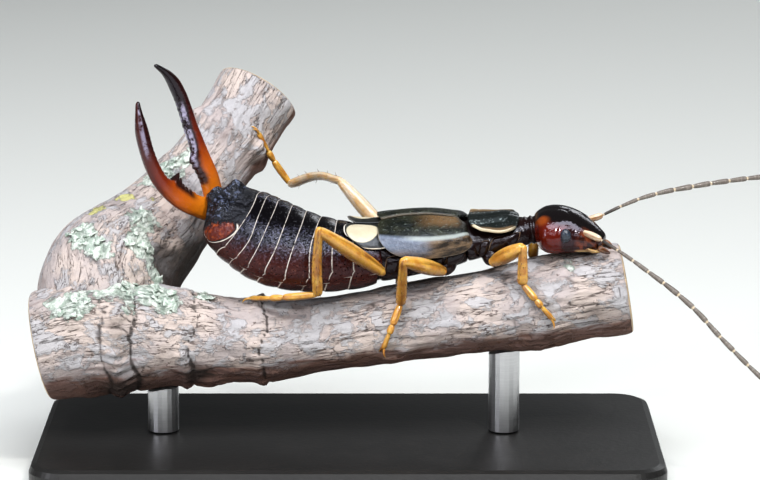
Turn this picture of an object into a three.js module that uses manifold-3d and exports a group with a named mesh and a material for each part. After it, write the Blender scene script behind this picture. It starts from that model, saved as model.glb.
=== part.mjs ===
// A life-size model of a male common earwig on a short cut length of forked twig, held by a plain
// display stand. Millimetres, +Z up. The origin is the centre of the stand base's underside, +X
// runs towards the head and +Y away from the side shown to the viewer.
import * as THREE from "three";
import { mergeVertices } from "three/addons/utils/BufferGeometryUtils.js";
import Module from "manifold-3d";

const wasm = await Module();
wasm.setup();

// Driving dimensions
const GAP = 0.06; // clear space between touching pieces
const PLATE = 0.26; // thickness of the shield and the wing covers
const BODY_ROLL = 10; // degrees that the back leans towards the viewer
const TAIL_SIDE = new THREE.Vector3(0.57, 0.69, 0.44); // the last ring's own left
const FORCEPS_AXIS = new THREE.Vector3(-0.414, -0.221, 0.883);
const BASE_PLATE = 1.5; // length of the broad toothed part of each arm
const EYE = 0.27;
const ANTENNA_RADIUS = 0.24;
const FEMUR_RADIUS = 0.29;
const TIBIA_RADIUS = 0.23;
const TARSUS_RADIUS = 0.2;
const BASE_LENGTH = 20;
const BASE_DEPTH = 10;
const BASE_HEIGHT = 1.2;
const BASE_ROUND = 0.25;
const ROD_RADIUS = 0.5;
const ROD_PLACES = [-6, 5];

// Along the trunk from neck to tail: place of the middle, half width, half height
const TRUNK = [
  [[5.9, -0.04, 7.85], 0.45, 0.4],
  [[5.4, -0.02, 7.76], 0.72, 0.52],
  [[4.65, 0, 7.63], 0.86, 0.56],
  [[3.95, 0, 7.52], 0.92, 0.64],
  [[3.24, 0, 7.4], 1.04, 0.74],
  [[1.8, 0, 7.17], 1.15, 0.84],
  [[0.9, 0, 7.05], 1.2, 0.9],
  [[0.1, 0, 6.99], 1.36, 1],
  [[-0.9, 0.02, 7.03], 1.54, 1.1],
  [[-1.8, 0.1, 7.18], 1.65, 1.16],
  [[-2.5, 0.24, 7.41], 1.65, 1.14],
  [[-3.15, 0.42, 7.75], 1.5, 1.02],
  [[-3.9, 0.7, 8.16], 1.3, 0.84],
  [[-4.6, 1, 8.5], 1, 0.6],
];

// Along the head from neck to mouth, as above
const HEAD = [
  [[5.98, 0.01, 7.87], 0.5, 0.42],
  [[6.16, 0, 7.88], 0.84, 0.61],
  [[6.52, -0.06, 7.88], 1.05, 0.73],
  [[6.95, -0.16, 7.84], 1.02, 0.7],
  [[7.4, -0.32, 7.74], 0.82, 0.57],
  [[7.8, -0.47, 7.62], 0.57, 0.42],
  [[8.08, -0.57, 7.53], 0.36, 0.28],
];
const HEAD_SIDE = new THREE.Vector3(0.26, 0.94, 0.2);

// Where the abdomen's rings part, as places of the trunk's middle along X
const RING_ENDS = [0.95, -0.31, -1.05, -1.65, -2.22, -2.83, -3.24, -3.6, -4.6];

// Middle and radius along the twig and its upper arm
const TWIG = [
  [[-9.95, 0, 3.98], 1.8],
  [[-8.3, 0, 4.32], 1.95],
  [[-6.6, 0, 4.35], 1.8],
  [[-5.2, 0, 4.28], 1.52],
  [[-3.3, -0.05, 4.22], 1.35],
  [[-2.7, -0.1, 4.23], 1.4],
  [[-2.1, -0.1, 4.28], 1.29],
  [[1.64, -0.1, 4.79], 1.26],
  [[6.13, -0.1, 5.49], 1.42],
  [[8.92, -0.1, 5.95], 1.5],
];
const TWIG_ARM = [
  [[-7.68, 0, 5.1], 1.8],
  [[-6.3, 2.9, 7.3], 1.7],
  [[-4.14, 4.9, 9.68], 1.34],
  [[-3.07, 6, 11.28], 1.5],
];

// Colours and finish
const CUTICLE = { color: 0x2a120c, roughness: 0.2, metalness: 0 };
const RED_CUTICLE = { color: 0x5a1a0c, roughness: 0.2, metalness: 0 };
const WING_COVER = { color: 0x4a4330, roughness: 0.25, metalness: 0.2 };
const CREAM = { color: 0xcdb88c, roughness: 0.4, metalness: 0 };
const AMBER = { color: 0xc07a1c, roughness: 0.35, metalness: 0 };
const FEELER = { color: 0x5b5044, roughness: 0.5, metalness: 0 };
const FORCEPS_BROWN = { color: 0x7a2c10, roughness: 0.2, metalness: 0 };
const EYE_DARK = { color: 0x1c2230, roughness: 0.3, metalness: 0 };
const BARK = { color: 0x8d8480, roughness: 0.9, metalness: 0 };
const STAND = { color: 0x1b1a19, roughness: 0.4, metalness: 0 };
const STEEL = { color: 0xb9bbbd, roughness: 0.3, metalness: 1 };

const radians = THREE.MathUtils.degToRad;
const vector = (place) => (place.isVector3 ? place.clone() : new THREE.Vector3(...place));

// Solids from rings of points

// A closed skin over rings of points, whose first and last rings are one point each.
function skin(rings) {
  const sides = rings[0].length;
  const geometry = new THREE.SphereGeometry(1, sides, rings.length - 1);
  const place = geometry.attributes.position;
  rings.forEach((ring, row) => {
    for (let step = 0; step <= sides; step += 1) {
      const point = ring[step % sides];
      place.setXYZ(row * (sides + 1) + step, point.x, point.y, point.z);
    }
  });
  return geometry;
}

function signedVolume(geometry) {
  const place = geometry.attributes.position;
  const corners = [new THREE.Vector3(), new THREE.Vector3(), new THREE.Vector3()];
  let sum = 0;
  for (let start = 0; start < geometry.index.count; start += 3) {
    corners.forEach((corner, n) => corner.fromBufferAttribute(place, geometry.index.getX(start + n)));
    sum += corners[0].dot(corners[1].cross(corners[2]));
  }
  return sum;
}

function solidOf(source) {
  const bare = source.clone();
  bare.deleteAttribute("normal");
  bare.deleteAttribute("uv");
  const geometry = mergeVertices(bare, 1e-5);
  const triVerts = Uint32Array.from(geometry.index.array);
  if (signedVolume(geometry) < 0) {
    triVerts.reverse();
  }
  const vertProperties = Float32Array.from(geometry.attributes.position.array);
  return new wasm.Manifold(new wasm.Mesh({ numProp: 3, vertProperties, triVerts }));
}

function largestPiece(solid) {
  const pieces = solid.decompose();
  return pieces.reduce((best, piece) => (piece.volume() > best.volume() ? piece : best));
}

function geometryOf(solid) {
  const { vertProperties, triVerts } = solid.getMesh();
  const geometry = new THREE.BufferGeometry();
  geometry.setAttribute("position", new THREE.BufferAttribute(vertProperties, 3));
  geometry.setIndex(new THREE.BufferAttribute(triVerts, 1));
  geometry.computeVertexNormals();
  return geometry;
}

const joined = (solids) => solids.reduce((sum, solid) => sum.add(solid));

// A smooth run of sections: its middle line, half widths and half heights, from a list of stations.
function sectionRun(stations, sideAt) {
  const middle = new THREE.CatmullRomCurve3(stations.map(([place]) => vector(place)));
  const girths = stations.map(([, width, height = width]) => new THREE.Vector3(width, height, 0));
  const girth = new THREE.CatmullRomCurve3(girths, false, "catmullrom", 0.5);
  const atX = (x) => {
    const falls = middle.getPoint(0).x > middle.getPoint(1).x;
    let low = 0;
    let high = 1;
    for (let pass = 0; pass < 40; pass += 1) {
      const half = (low + high) / 2;
      if (middle.getPoint(half).x > x === falls) {
        low = half;
      } else {
        high = half;
      }
    }
    return (low + high) / 2;
  };
  const axes = (t) => {
    const forward = middle.getTangent(t);
    const side = sideAt(t).clone();
    side.addScaledVector(forward, -side.dot(forward)).normalize();
    const up = new THREE.Vector3().crossVectors(forward, side);
    if (up.dot(new THREE.Vector3(0.3, -0.3, 1)) < 0) {
      up.negate();
    }
    return { forward, side, up };
  };
  // The point at t, at an angle in degrees from the back towards the left, lifted off the surface.
  const surface = (t, angle, lift = 0) => {
    const { side, up } = axes(t);
    const { x: width, y: height } = girth.getPoint(t);
    return middle
      .getPoint(t)
      .addScaledVector(side, (width + lift) * Math.sin(radians(angle)))
      .addScaledVector(up, (height + lift) * Math.cos(radians(angle)));
  };
  return { middle, axes, surface, atX };
}

// A stretch of a section run with flat ends. lift tells how far each row stands off the surface.
function stretch(run, from, to, { rows = 4, sides = 28, lift = () => 0 } = {}) {
  const rings = [];
  const pole = (t) => Array(sides).fill(run.middle.getPoint(t));
  rings.push(pole(from));
  for (let row = 0; row <= rows; row += 1) {
    const part = row / rows;
    const t = THREE.MathUtils.lerp(from, to, part);
    const ring = [];
    for (let step = 0; step < sides; step += 1) {
      ring.push(run.surface(t, (360 * step) / sides, lift(part, (360 * step) / sides)));
    }
    rings.push(ring);
  }
  rings.push(pole(to));
  return skin(rings);
}

// A plate that lies on a section run between two angles, its underside a gap off the surface.
function plate(run, from, to, { start, end, rows = 8, across = 10, thickness = PLATE }) {
  const rings = [];
  for (let row = 0; row <= rows; row += 1) {
    const part = row / rows;
    const t = THREE.MathUtils.lerp(from, to, part);
    const outer = [];
    const inner = [];
    for (let step = 0; step <= across; step += 1) {
      const fraction = step / across;
      const angle = THREE.MathUtils.lerp(start(part), end(part), fraction);
      const swell = 1 - 0.35 * (2 * fraction - 1) ** 4;
      outer.push(run.surface(t, angle, GAP + thickness * swell));
      inner.unshift(run.surface(t, angle, GAP));
    }
    const ring = [...outer, ...inner];
    const centre = ring.reduce((sum, point) => sum.add(point), new THREE.Vector3());
    centre.divideScalar(ring.length);
    if (row === 0) {
      rings.push(Array(ring.length).fill(centre));
    }
    rings.push(ring);
    if (row === rows) {
      rings.push(Array(ring.length).fill(centre));
    }
  }
  return skin(rings);
}

// A limb through a list of points: round ends, a radius for each point, and grow to make it fatter.
// cap 0 makes the far end flat.
function limb(points, radii, { sides = 10, rows = 8, flat = 1, facing = [0, 1, 0.2], cap = 1 } = {}) {
  return (grow = 0) => {
    const path = new THREE.CatmullRomCurve3(points.map(vector));
    const sizes = new THREE.CatmullRomCurve3(radii.map((radius) => new THREE.Vector3(radius, 0, 0)));
    const rings = [];
    const addRing = (t, along, around) => {
      const forward = path.getTangent(t);
      const side = new THREE.Vector3().crossVectors(vector(facing), forward).normalize();
      const up = new THREE.Vector3().crossVectors(forward, side);
      const radius = sizes.getPoint(t).x + grow;
      const ring = [];
      for (let step = 0; step < sides; step += 1) {
        const angle = (2 * Math.PI * step) / sides;
        ring.push(
          path
            .getPoint(t)
            .addScaledVector(forward, along * radius)
            .addScaledVector(side, around * radius * Math.cos(angle))
            .addScaledVector(up, around * radius * flat * Math.sin(angle)),
        );
      }
      rings.push(ring);
    };
    addRing(0, -1, 0);
    addRing(0, -Math.SQRT1_2, Math.SQRT1_2);
    for (let row = 0; row <= rows; row += 1) {
      addRing(row / rows, 0, 1);
    }
    addRing(1, cap * Math.SQRT1_2, Math.SQRT1_2);
    addRing(1, cap, 0);
    return skin(rings);
  };
}

function ball(place, radius, stretched = [1, 1, 1]) {
  return (grow = 0) => {
    const geometry = new THREE.SphereGeometry(1, 14, 9);
    geometry.scale(...stretched.map((factor) => radius * factor + grow));
    return geometry.translate(...vector(place).toArray());
  };
}

// Pieces: each has a name, a finish, its forms, and the names of the pieces that it sits against
const pieces = new Map();

function addPiece(name, finish, forms, against = []) {
  pieces.set(name, { finish, forms, against });
}

const grownSolid = (name) => joined(pieces.get(name).forms.map((form) => solidOf(form(GAP))));

// The trunk

const thoraxSide = new THREE.Vector3(0, Math.cos(radians(BODY_ROLL)), Math.sin(radians(BODY_ROLL)));
const trunk = sectionRun(TRUNK, (t) => {
  const turn = THREE.MathUtils.smoothstep(t, 0.5, 1);
  return thoraxSide.clone().lerp(TAIL_SIDE, turn);
});
const head = sectionRun(HEAD, () => HEAD_SIDE);
const trunkPiece = (from, to, options) => (grow = 0) => {
  const own = options?.lift ?? (() => 0);
  const lift = (part, angle) => own(part, angle) + grow;
  return stretch(trunk, trunk.atX(from), trunk.atX(to), { ...options, lift });
};

addPiece("prothorax", CUTICLE, [trunkPiece(5.9, 3.7, { rows: 5, sides: 24 })]);
addPiece("pterothorax", CUTICLE, [trunkPiece(3.7 - GAP, RING_ENDS[0], { rows: 6, sides: 24 })]);

const rings = RING_ENDS.slice(1);
rings.forEach((end, index) => {
  const last = index === rings.length - 1;
  const begin = RING_ENDS[index] - GAP;
  const lipped = (part) => (index > 0 ? 0.05 * part - 0.02 : 0);
  const name = last ? "last_ring" : `abdomen_${index + 1}`;
  const forms = [trunkPiece(begin, end, { rows: last ? 6 : 3, lift: lipped })];
  if (last) {
    [-1, 1].forEach((way) => {
      forms.push(ball(trunk.surface(trunk.atX(-4.2), 48 * way, -0.12), 0.34, [1, 1, 0.8]));
    });
  }
  addPiece(name, index > 4 ? RED_CUTICLE : CUTICLE, forms);
});

// The shield behind the head, and the wing covers with the wing tips that show behind them

const shieldAngle = (part) => 58 - 12 * (2 * part - 1) ** 4;
const shield = () => plate(trunk, trunk.atX(5.55), trunk.atX(3.92), {
  start: (part) => -shieldAngle(part),
  end: shieldAngle,
  across: 16,
});
addPiece("pronotum", CUTICLE, [shield]);

const midline = 2.4; // degrees off the back's middle line
const coverAngle = (part) => 88 - 1300 * Math.max(0, 0.14 - part) ** 2 - 160 * Math.max(0, part - 0.5) ** 2;
[[-1, "right"], [1, "left"]].forEach(([way, side]) => {
  const cover = () => plate(trunk, trunk.atX(3.86), trunk.atX(0.98), {
    start: () => way * midline,
    end: (part) => way * coverAngle(part),
    rows: 9,
  });
  const tip = () => plate(trunk, trunk.atX(0.92), trunk.atX(-0.26), {
    start: () => way * (midline + 0.5),
    end: (part) => way * (68 - 44 * part ** 3),
    rows: 5,
    across: 7,
    thickness: 0.2,
  });
  addPiece(`wing_cover_${side}`, WING_COVER, [cover]);
  addPiece(`wing_tip_${side}`, CREAM, [tip]);
});

// The head with its eyes, jaws, palps and antennae

const headStretch = (grow = 0) => stretch(head, 0, 1, { rows: 10, sides: 26, lift: () => grow });
addPiece("head", RED_CUTICLE, [headStretch]);

[[-1, "right"], [1, "left"]].forEach(([way, side]) => {
  const eyePlace = head.surface(head.atX(7.2), 86 * way, -0.03);
  addPiece(`eye_${side}`, EYE_DARK, [ball(eyePlace, EYE, [1.05, 0.9, 0.95])], ["head"]);
  const jaw = [
    head.surface(0.97, 92 * way, -0.12),
    head.surface(1, 92 * way, -0.06).add(new THREE.Vector3(0.2, -0.08, -0.04)),
    head.surface(1, 60 * way, -0.2).add(new THREE.Vector3(0.42, -0.16, -0.1)),
  ];
  const jawAgainst = way < 0 ? ["head"] : ["head", "jaw_right"];
  addPiece(`jaw_${side}`, CUTICLE, [limb(jaw, [0.17, 0.15, 0.07], { rows: 5 })], jawAgainst);
});
const palps = {
  palp_right: [[7.45, -0.9, 7.42], [7.62, -1.1, 7.24], [7.85, -1.2, 7.24], [8.08, -1.16, 7.36]],
  palp_left: [[7.75, -0.1, 7.5], [7.95, 0.12, 7.72], [8.15, 0.1, 7.9], [8.4, -0.1, 7.62]],
};
Object.entries(palps).forEach(([name, points]) => {
  addPiece(name, AMBER, [limb(points, [0.2, 0.19, 0.17, 0.1], { rows: 7, sides: 8 })], ["head"]);
});

const antennae = {
  right: [
    [[7.4, -0.78, 7.92], [7.65, -0.98, 7.88], [7.98, -1.17, 7.76]],
    [[8.02, -1.2, 7.74], [8.5, -1.5, 7.49], [9.19, -1.9, 7.07], [10.7, -2.8, 6.02]],
    [[10.7, -2.8, 6.02], [11.76, -3.4, 4.97], [12.76, -3.9, 4.04], [13.87, -4.3, 3.11]],
  ],
  left: [
    [[7.6, 0.12, 8.12], [7.84, 0.3, 8.15], [8.12, 0.43, 8.21]],
    [[8.17, 0.46, 8.23], [8.77, 0.6, 8.49], [9.65, 0.8, 8.78], [11.3, 1.18, 9.05]],
    [[11.3, 1.18, 9.05], [12.24, 1.4, 9.15], [13.3, 1.7, 9.22], [15.6, 2.25, 9.29]],
  ],
};
Object.entries(antennae).forEach(([side, [root, length, tip]]) => {
  const thick = ANTENNA_RADIUS;
  const scape = limb(root, [0.25, 0.25, 0.22], { rows: 4 });
  addPiece(`antenna_${side}_root`, AMBER, [scape], ["head", `eye_${side}`, `palp_${side}`]);
  const lengths = limb(length, [thick, thick, thick, thick], { rows: 9, sides: 8 });
  addPiece(`antenna_${side}_length`, FEELER, [lengths], [`antenna_${side}_root`]);
  const end = limb(tip, [thick, thick, thick * 0.9, 0.1], { rows: 8, sides: 8 });
  addPiece(`antenna_${side}_tip`, FEELER, [end], [`antenna_${side}_length`]);
});

// The twig, which the feet grip

const twig = sectionRun(TWIG, () => new THREE.Vector3(0, 1, 0));
const twigArm = sectionRun(TWIG_ARM, () => new THREE.Vector3(0.8, -0.6, 0));
const knotty = (size, seed) => (part, angle) => {
  const turn = radians(angle);
  const ridges = Math.sin(3 * turn + seed + 4 * part) + 0.6 * Math.sin(5 * turn - 9 * part + seed);
  return size * (ridges + 0.8 * Math.sin(23 * part + 2 * turn + seed));
};
const twigForm = (run, rows, bumps) => (grow = 0) =>
  stretch(run, 0, 1, { rows, sides: 22, lift: (part, angle) => bumps(part, angle) + grow });
addPiece("perch_main", BARK, [twigForm(twig, 18, knotty(0.02, 1))]);
addPiece("perch_fork", BARK, [twigForm(twigArm, 9, knotty(0.03, 4))], ["perch_main"]);

// A point on the twig at x, at an angle from its top towards the viewer, as high as the foot needs
const onTwig = (x, angle, lift) => twig.surface(twig.atX(x), -angle, lift);

// Legs: the trochanter, the knee, the end of the tibia, the tarsus and its tip

const footLift = TARSUS_RADIUS + GAP + 0.02;
const legs = {
  front_right: [[4.5, -0.4, 7.3], [4.56, -0.84, 6.95], [5.5, -1.72, 7.64],
    onTwig(5.67, 53, footLift), onTwig(6.07, 78, footLift), onTwig(6.42, 100, 0.14)],
  front_left: [[4.55, 0.4, 7.3], [4.77, 0.9, 6.98], [6.02, 1.55, 7.78],
    onTwig(6.14, -40, footLift), onTwig(6.5, -60, footLift), onTwig(6.9, -82, 0.14)],
  middle_right: [[3.2, -0.45, 6.95], [3.02, -0.92, 6.68], [1.74, -2.2, 7.3],
    onTwig(1.79, 52, footLift), onTwig(1.41, 80, footLift), onTwig(1.03, 110, 0.14)],
  middle_left: [[3.2, 0.5, 7.06], [3.02, 0.98, 6.82], [1.74, 2.2, 7.45],
    onTwig(1.8, -50, footLift), onTwig(1.5, -76, footLift), onTwig(1.1, -102, 0.14)],
  hind_right: [[1.55, -0.5, 6.75], [1.1, -0.98, 6.66], [-0.9, -2.5, 8.33],
    [-0.97, -1.62, 6.08], [-2.3, -1.28, 5.89], [-3.14, -0.56, 5.72]],
  hind_left: [[2, 0.6, 6.85], [1.72, 1.2, 6.88], [-0.3, 2.3, 8.98],
    [-1.98, 4.3, 8.48], [-2.45, 4.4, 9.17], [-2.92, 4.7, 9.86]],
};
const between = (from, to, part) => vector(from).lerp(vector(to), part);

Object.entries(legs).forEach(([leg, [root, trochanter, knee, ankle, foot, toe]]) => {
  const coxa = limb([root, trochanter], [0.34, 0.27], { rows: 2 });
  const thigh = [trochanter, between(trochanter, knee, 0.45), knee];
  const thick = FEMUR_RADIUS;
  const femur = limb(thigh, [0.22, thick, 0.24], { rows: 5 });
  const shin = [knee, between(knee, ankle, 0.5), ankle];
  const tibia = limb(shin, [TIBIA_RADIUS, TIBIA_RADIUS, 0.2], { rows: 3, sides: 8 });
  const tarsus = limb([ankle, foot, toe], [0.19, TARSUS_RADIUS, 0.1], { rows: 5, sides: 8 });
  const side = leg.split("_")[1];
  const segments = leg.startsWith("front") ? ["prothorax"] : ["pterothorax", "abdomen_1"];
  const wings = leg.startsWith("front") ? [] : [`wing_cover_${side}`, `wing_tip_${side}`];
  addPiece(`coxa_${leg}`, AMBER, [coxa], segments);
  addPiece(`femur_${leg}`, AMBER, [femur], [`coxa_${leg}`, ...segments, ...wings]);
  addPiece(`tibia_${leg}`, AMBER, [tibia], [`femur_${leg}`]);
  addPiece(`tarsus_${leg}`, AMBER, [tarsus], [`tibia_${leg}`, "perch_main", "perch_fork"]);
});

// Forceps: two arms that bow out, each with a broad toothed base and a hooked tip

const tailEnd = trunk.middle.getPoint(1);
const forcepsAxis = FORCEPS_AXIS.clone().normalize();
const forcepsSide = TAIL_SIDE.clone().addScaledVector(forcepsAxis, -TAIL_SIDE.dot(forcepsAxis));
forcepsSide.normalize();
const forcepsBack = new THREE.Vector3().crossVectors(forcepsAxis, forcepsSide).negate();

// The heading of an arm at a part of its length, in degrees outwards from the axis, from headings
// at even steps.
function heading(part, bend) {
  const step = Math.min(Math.floor(part * (bend.length - 1)), bend.length - 2);
  return THREE.MathUtils.lerp(bend[step], bend[step + 1], part * (bend.length - 1) - step);
}

function forcepsArm(way, { armLength, apart, bend }) {
  const rows = 18;
  const across = way * apart;
  const point = tailEnd.clone().addScaledVector(forcepsSide, across).addScaledVector(forcepsAxis, 0.05);
  const stations = [];
  for (let row = 0; row <= rows; row += 1) {
    const length = (armLength * row) / rows;
    const turn = radians(heading(row / rows, bend));
    const forward = forcepsAxis
      .clone()
      .multiplyScalar(Math.cos(turn))
      .addScaledVector(forcepsSide, way * Math.sin(turn));
    const out = new THREE.Vector3().crossVectors(forward, forcepsBack).multiplyScalar(way);
    stations.push({ length, place: point.clone(), forward, out });
    point.addScaledVector(forward, armLength / rows);
  }
  const { smoothstep, lerp } = THREE.MathUtils;
  const form = (grow = 0) => {
    const rings = stations.map(({ length, place, out }) => {
      const broad = 1 - smoothstep(length, BASE_PLATE * 0.75, BASE_PLATE * 1.25);
      const slim = 1 - smoothstep(length, armLength * 0.75, armLength);
      const outward = lerp(0.13, 0.29, slim) + grow;
      const inward = lerp(0.05, 0.26, slim) + 0.26 * broad + grow;
      const depth = lerp(0.1, 0.27, slim) + grow;
      return Array.from({ length: 14 }, (_, step) => {
        const angle = (2 * Math.PI * step) / 14;
        const reach = Math.cos(angle) > 0 ? outward : inward;
        return place
          .clone()
          .addScaledVector(out, reach * Math.cos(angle))
          .addScaledVector(forcepsBack, depth * Math.sin(angle));
      });
    });
    rings.unshift(Array(14).fill(stations[0].place));
    const tip = stations[rows].place.clone().addScaledVector(stations[rows].forward, 0.08 + grow);
    rings.push(Array(14).fill(tip));
    return skin(rings);
  };
  const teeth = [0.45, 0.75, 1.05, 1.4].map((length, index) => {
    const { place, out } = stations[Math.round((length / armLength) * rows)];
    const large = index === 3;
    const root = place.clone().addScaledVector(out, -0.28);
    const point = place.clone().addScaledVector(out, large ? -0.72 : -0.58);
    return limb([root, point], [large ? 0.24 : 0.14, 0.06], { rows: 1, sides: 8 });
  });
  return [form, ...teeth];
}

// apart is half of the space between the arms' roots
const rightArm = { armLength: 4.45, apart: 0.4, bend: [42, 27, 8, -10, -21, -28] };
const leftArm = { armLength: 4.8, apart: 0.5, bend: [22, 2, 7, 14, 0, -22] };
addPiece("forceps_right", FORCEPS_BROWN, forcepsArm(-1, rightArm), ["last_ring"]);
addPiece("forceps_left", FORCEPS_BROWN, forcepsArm(1, leftArm), ["last_ring", "forceps_right"]);

// The display stand

function baseForm() {
  const outline = new THREE.Shape();
  const [right, far, round] = [BASE_LENGTH / 2, BASE_DEPTH / 2, 1.2];
  outline.absarc(right - round, far - round, round, 0, Math.PI / 2);
  outline.absarc(-right + round, far - round, round, Math.PI / 2, Math.PI);
  outline.absarc(-right + round, -far + round, round, Math.PI, 1.5 * Math.PI);
  outline.absarc(right - round, -far + round, round, 1.5 * Math.PI, 2 * Math.PI);
  const slab = new THREE.ExtrudeGeometry(outline, {
    depth: BASE_HEIGHT - BASE_ROUND,
    bevelEnabled: true,
    bevelThickness: BASE_ROUND,
    bevelSize: BASE_ROUND,
    bevelOffset: -BASE_ROUND,
    bevelSegments: 2,
    curveSegments: 6,
  });
  const cutter = new THREE.BoxGeometry(4 * BASE_LENGTH, 4 * BASE_LENGTH, BASE_HEIGHT);
  cutter.translate(0, 0, -BASE_HEIGHT / 2);
  return solidOf(mergedFaces(slab)).subtract(solidOf(cutter));
}

// An extrusion has no index, so its corners are first merged into one
function mergedFaces(geometry) {
  const bare = geometry.clone();
  bare.deleteAttribute("normal");
  bare.deleteAttribute("uv");
  return mergeVertices(bare, 1e-5);
}

const rodForm = (x) => (grow = 0) => {
  const [bottom, top] = [BASE_HEIGHT + GAP, 4.2];
  const rod = new THREE.CylinderGeometry(ROD_RADIUS + grow, ROD_RADIUS + grow, top - bottom, 20);
  return rod.rotateX(Math.PI / 2).translate(x, -0.05, (bottom + top) / 2);
};
addPiece("stand_rod_tail", STEEL, [rodForm(ROD_PLACES[0])], ["perch_main"]);
addPiece("stand_rod_head", STEEL, [rodForm(ROD_PLACES[1])], ["perch_main"]);

// The finished object

const earwig = new THREE.Group();
earwig.name = "earwig";

function addMesh(name, finish, solid) {
  const mesh = new THREE.Mesh(geometryOf(solid), new THREE.MeshStandardMaterial(finish));
  mesh.name = name;
  earwig.add(mesh);
}

pieces.forEach(({ finish, forms, against }, name) => {
  const whole = joined(forms.map((form) => solidOf(form())));
  const seated = against.reduce((solid, other) => solid.subtract(grownSolid(other)), whole);
  addMesh(name, finish, largestPiece(seated));
});
addMesh("stand_base", STAND, baseForm());

export default earwig;
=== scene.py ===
# %% [markdown]
# # A male earwig on a forked twig
# The earwig is a dark insect about 14 mm long: shining rings, two leathery wing covers, amber
# legs and a pair of red-brown forceps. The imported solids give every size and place. Here each
# solid gets a finely modelled twin that stands for it. First come the frame and the tools.

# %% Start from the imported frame
import math

import bpy
import numpy as np
from mathutils import Matrix, Vector, noise
from mathutils.geometry import interpolate_bezier


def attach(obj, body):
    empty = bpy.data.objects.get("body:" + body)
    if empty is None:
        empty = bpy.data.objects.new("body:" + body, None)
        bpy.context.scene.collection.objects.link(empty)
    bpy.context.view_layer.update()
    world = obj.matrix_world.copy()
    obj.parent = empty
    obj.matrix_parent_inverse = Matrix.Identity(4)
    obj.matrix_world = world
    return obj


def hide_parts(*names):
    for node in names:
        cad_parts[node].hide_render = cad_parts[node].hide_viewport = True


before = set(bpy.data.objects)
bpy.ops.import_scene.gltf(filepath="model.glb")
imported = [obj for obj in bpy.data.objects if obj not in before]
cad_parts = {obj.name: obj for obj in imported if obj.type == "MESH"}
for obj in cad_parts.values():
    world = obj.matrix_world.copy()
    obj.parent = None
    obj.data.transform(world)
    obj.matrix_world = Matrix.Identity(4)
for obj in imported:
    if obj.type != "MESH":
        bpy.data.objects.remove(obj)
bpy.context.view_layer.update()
MM = 0.001

# %% [markdown]
# The photograph was taken from just above the twig with a long lens, square to it. A camera 110 mm
# away with a long lens keeps the perspective as flat as that.

# %% Camera
TARGET = Vector((1, 0, 7.5)) * MM
ELEVATION = math.radians(12)
DISTANCE = 110 * MM
away = Vector((0, -math.cos(ELEVATION), math.sin(ELEVATION)))
bpy.ops.object.camera_add(location=TARGET + DISTANCE * away, rotation=(math.pi / 2 - ELEVATION, 0, 0))
camera = bpy.context.object
camera.data.lens = 162.8
camera.data.clip_start = 0.01
bpy.context.scene.camera = camera
print("camera at", [round(n / MM, 1) for n in camera.location], "mm")

# %% [markdown]
# ## Tools for shapes
# Pieces are modelled in millimetres, because Blender's merge distances are made for things of
# that many units, and each is brought to metres when it is finished. An insect is a row of
# turned forms, so the first tool turns one: a circle is extruded along X and resized at each
# station, as a wood turner works along a spindle.

# %% Turned forms
def fresh():
    if bpy.context.object and bpy.context.object.mode != "OBJECT":
        bpy.ops.object.mode_set(mode="OBJECT")
    bpy.ops.object.select_all(action="DESELECT")


def modify(piece, kind, **settings):
    modifier = piece.modifiers.new(kind, kind)
    for name, value in settings.items():
        setattr(modifier, name, value)
    fresh()
    piece.select_set(True)
    bpy.context.view_layer.objects.active = piece
    bpy.ops.object.modifier_apply(modifier=modifier.name)


def smooth(piece, levels):
    modify(piece, "SUBSURF", levels=levels, render_levels=levels)


def turned(name, stations, sides=24, levels=2):
    """A closed form along X. A station is its place, half width, half height and its shift in Y and Z."""
    fresh()
    upright = (0, math.pi / 2, 0)
    bpy.ops.mesh.primitive_circle_add(vertices=sides, radius=1, fill_type="NGON", rotation=upright)
    piece = bpy.context.object
    piece.name = name
    bpy.ops.object.transform_apply()
    bpy.ops.object.mode_set(mode="EDIT")
    bpy.ops.mesh.select_all(action="SELECT")
    place, girth = Vector((0, 0, 0)), (1, 1)
    for number, (x, wide, high, *shift) in enumerate(stations):
        if number:
            bpy.ops.mesh.extrude_region_move()
        middle = Vector((x, *(shift or (0, 0))))
        bpy.ops.transform.resize(value=(1, wide / girth[0], high / girth[1]), center_override=place)
        bpy.ops.transform.translate(value=middle - place)
        place, girth = middle, (wide, high)
    bpy.ops.mesh.select_all(action="SELECT")
    bpy.ops.mesh.normals_make_consistent(inside=False)
    bpy.ops.object.mode_set(mode="OBJECT")
    if levels:
        smooth(piece, levels)
    return piece


# %% [markdown]
# Body, legs and feelers all curve. Each piece is modelled straight, then bent with a Curve modifier
# along a guide, the middle line that the solids have too. Before the bend every point notes its own
# chart: how far along it lies, its angle round the axis, and its distance from a rim. Colours that
# follow the anatomy read that chart, so they bend with the piece.

# %% Guides, charts and bends
def chart(piece, values):
    layer = piece.data.attributes.new("chart", "FLOAT_VECTOR", "POINT")
    layer.data.foreach_set("vector", np.array(values, np.float32).ravel())


def points_of(piece):
    flat = np.empty(len(piece.data.vertices) * 3, np.float32)
    piece.data.vertices.foreach_get("co", flat)
    return flat.reshape(-1, 3).astype(float)


def move_points(piece, places):
    piece.data.vertices.foreach_set("co", np.array(places, np.float32).ravel())
    piece.data.update()


def note_straight(piece):
    """Keeps where every point lay before the bend, for patterns that run along the piece."""
    layer = piece.data.attributes.new("straight", "FLOAT_VECTOR", "POINT")
    layer.data.foreach_set("vector", points_of(piece).astype(np.float32).ravel())


def round_chart(piece):
    x, y, z = points_of(piece).T
    chart(piece, np.stack([x, np.degrees(np.arctan2(y, z)), np.hypot(y, z)], 1))
    note_straight(piece)


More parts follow.
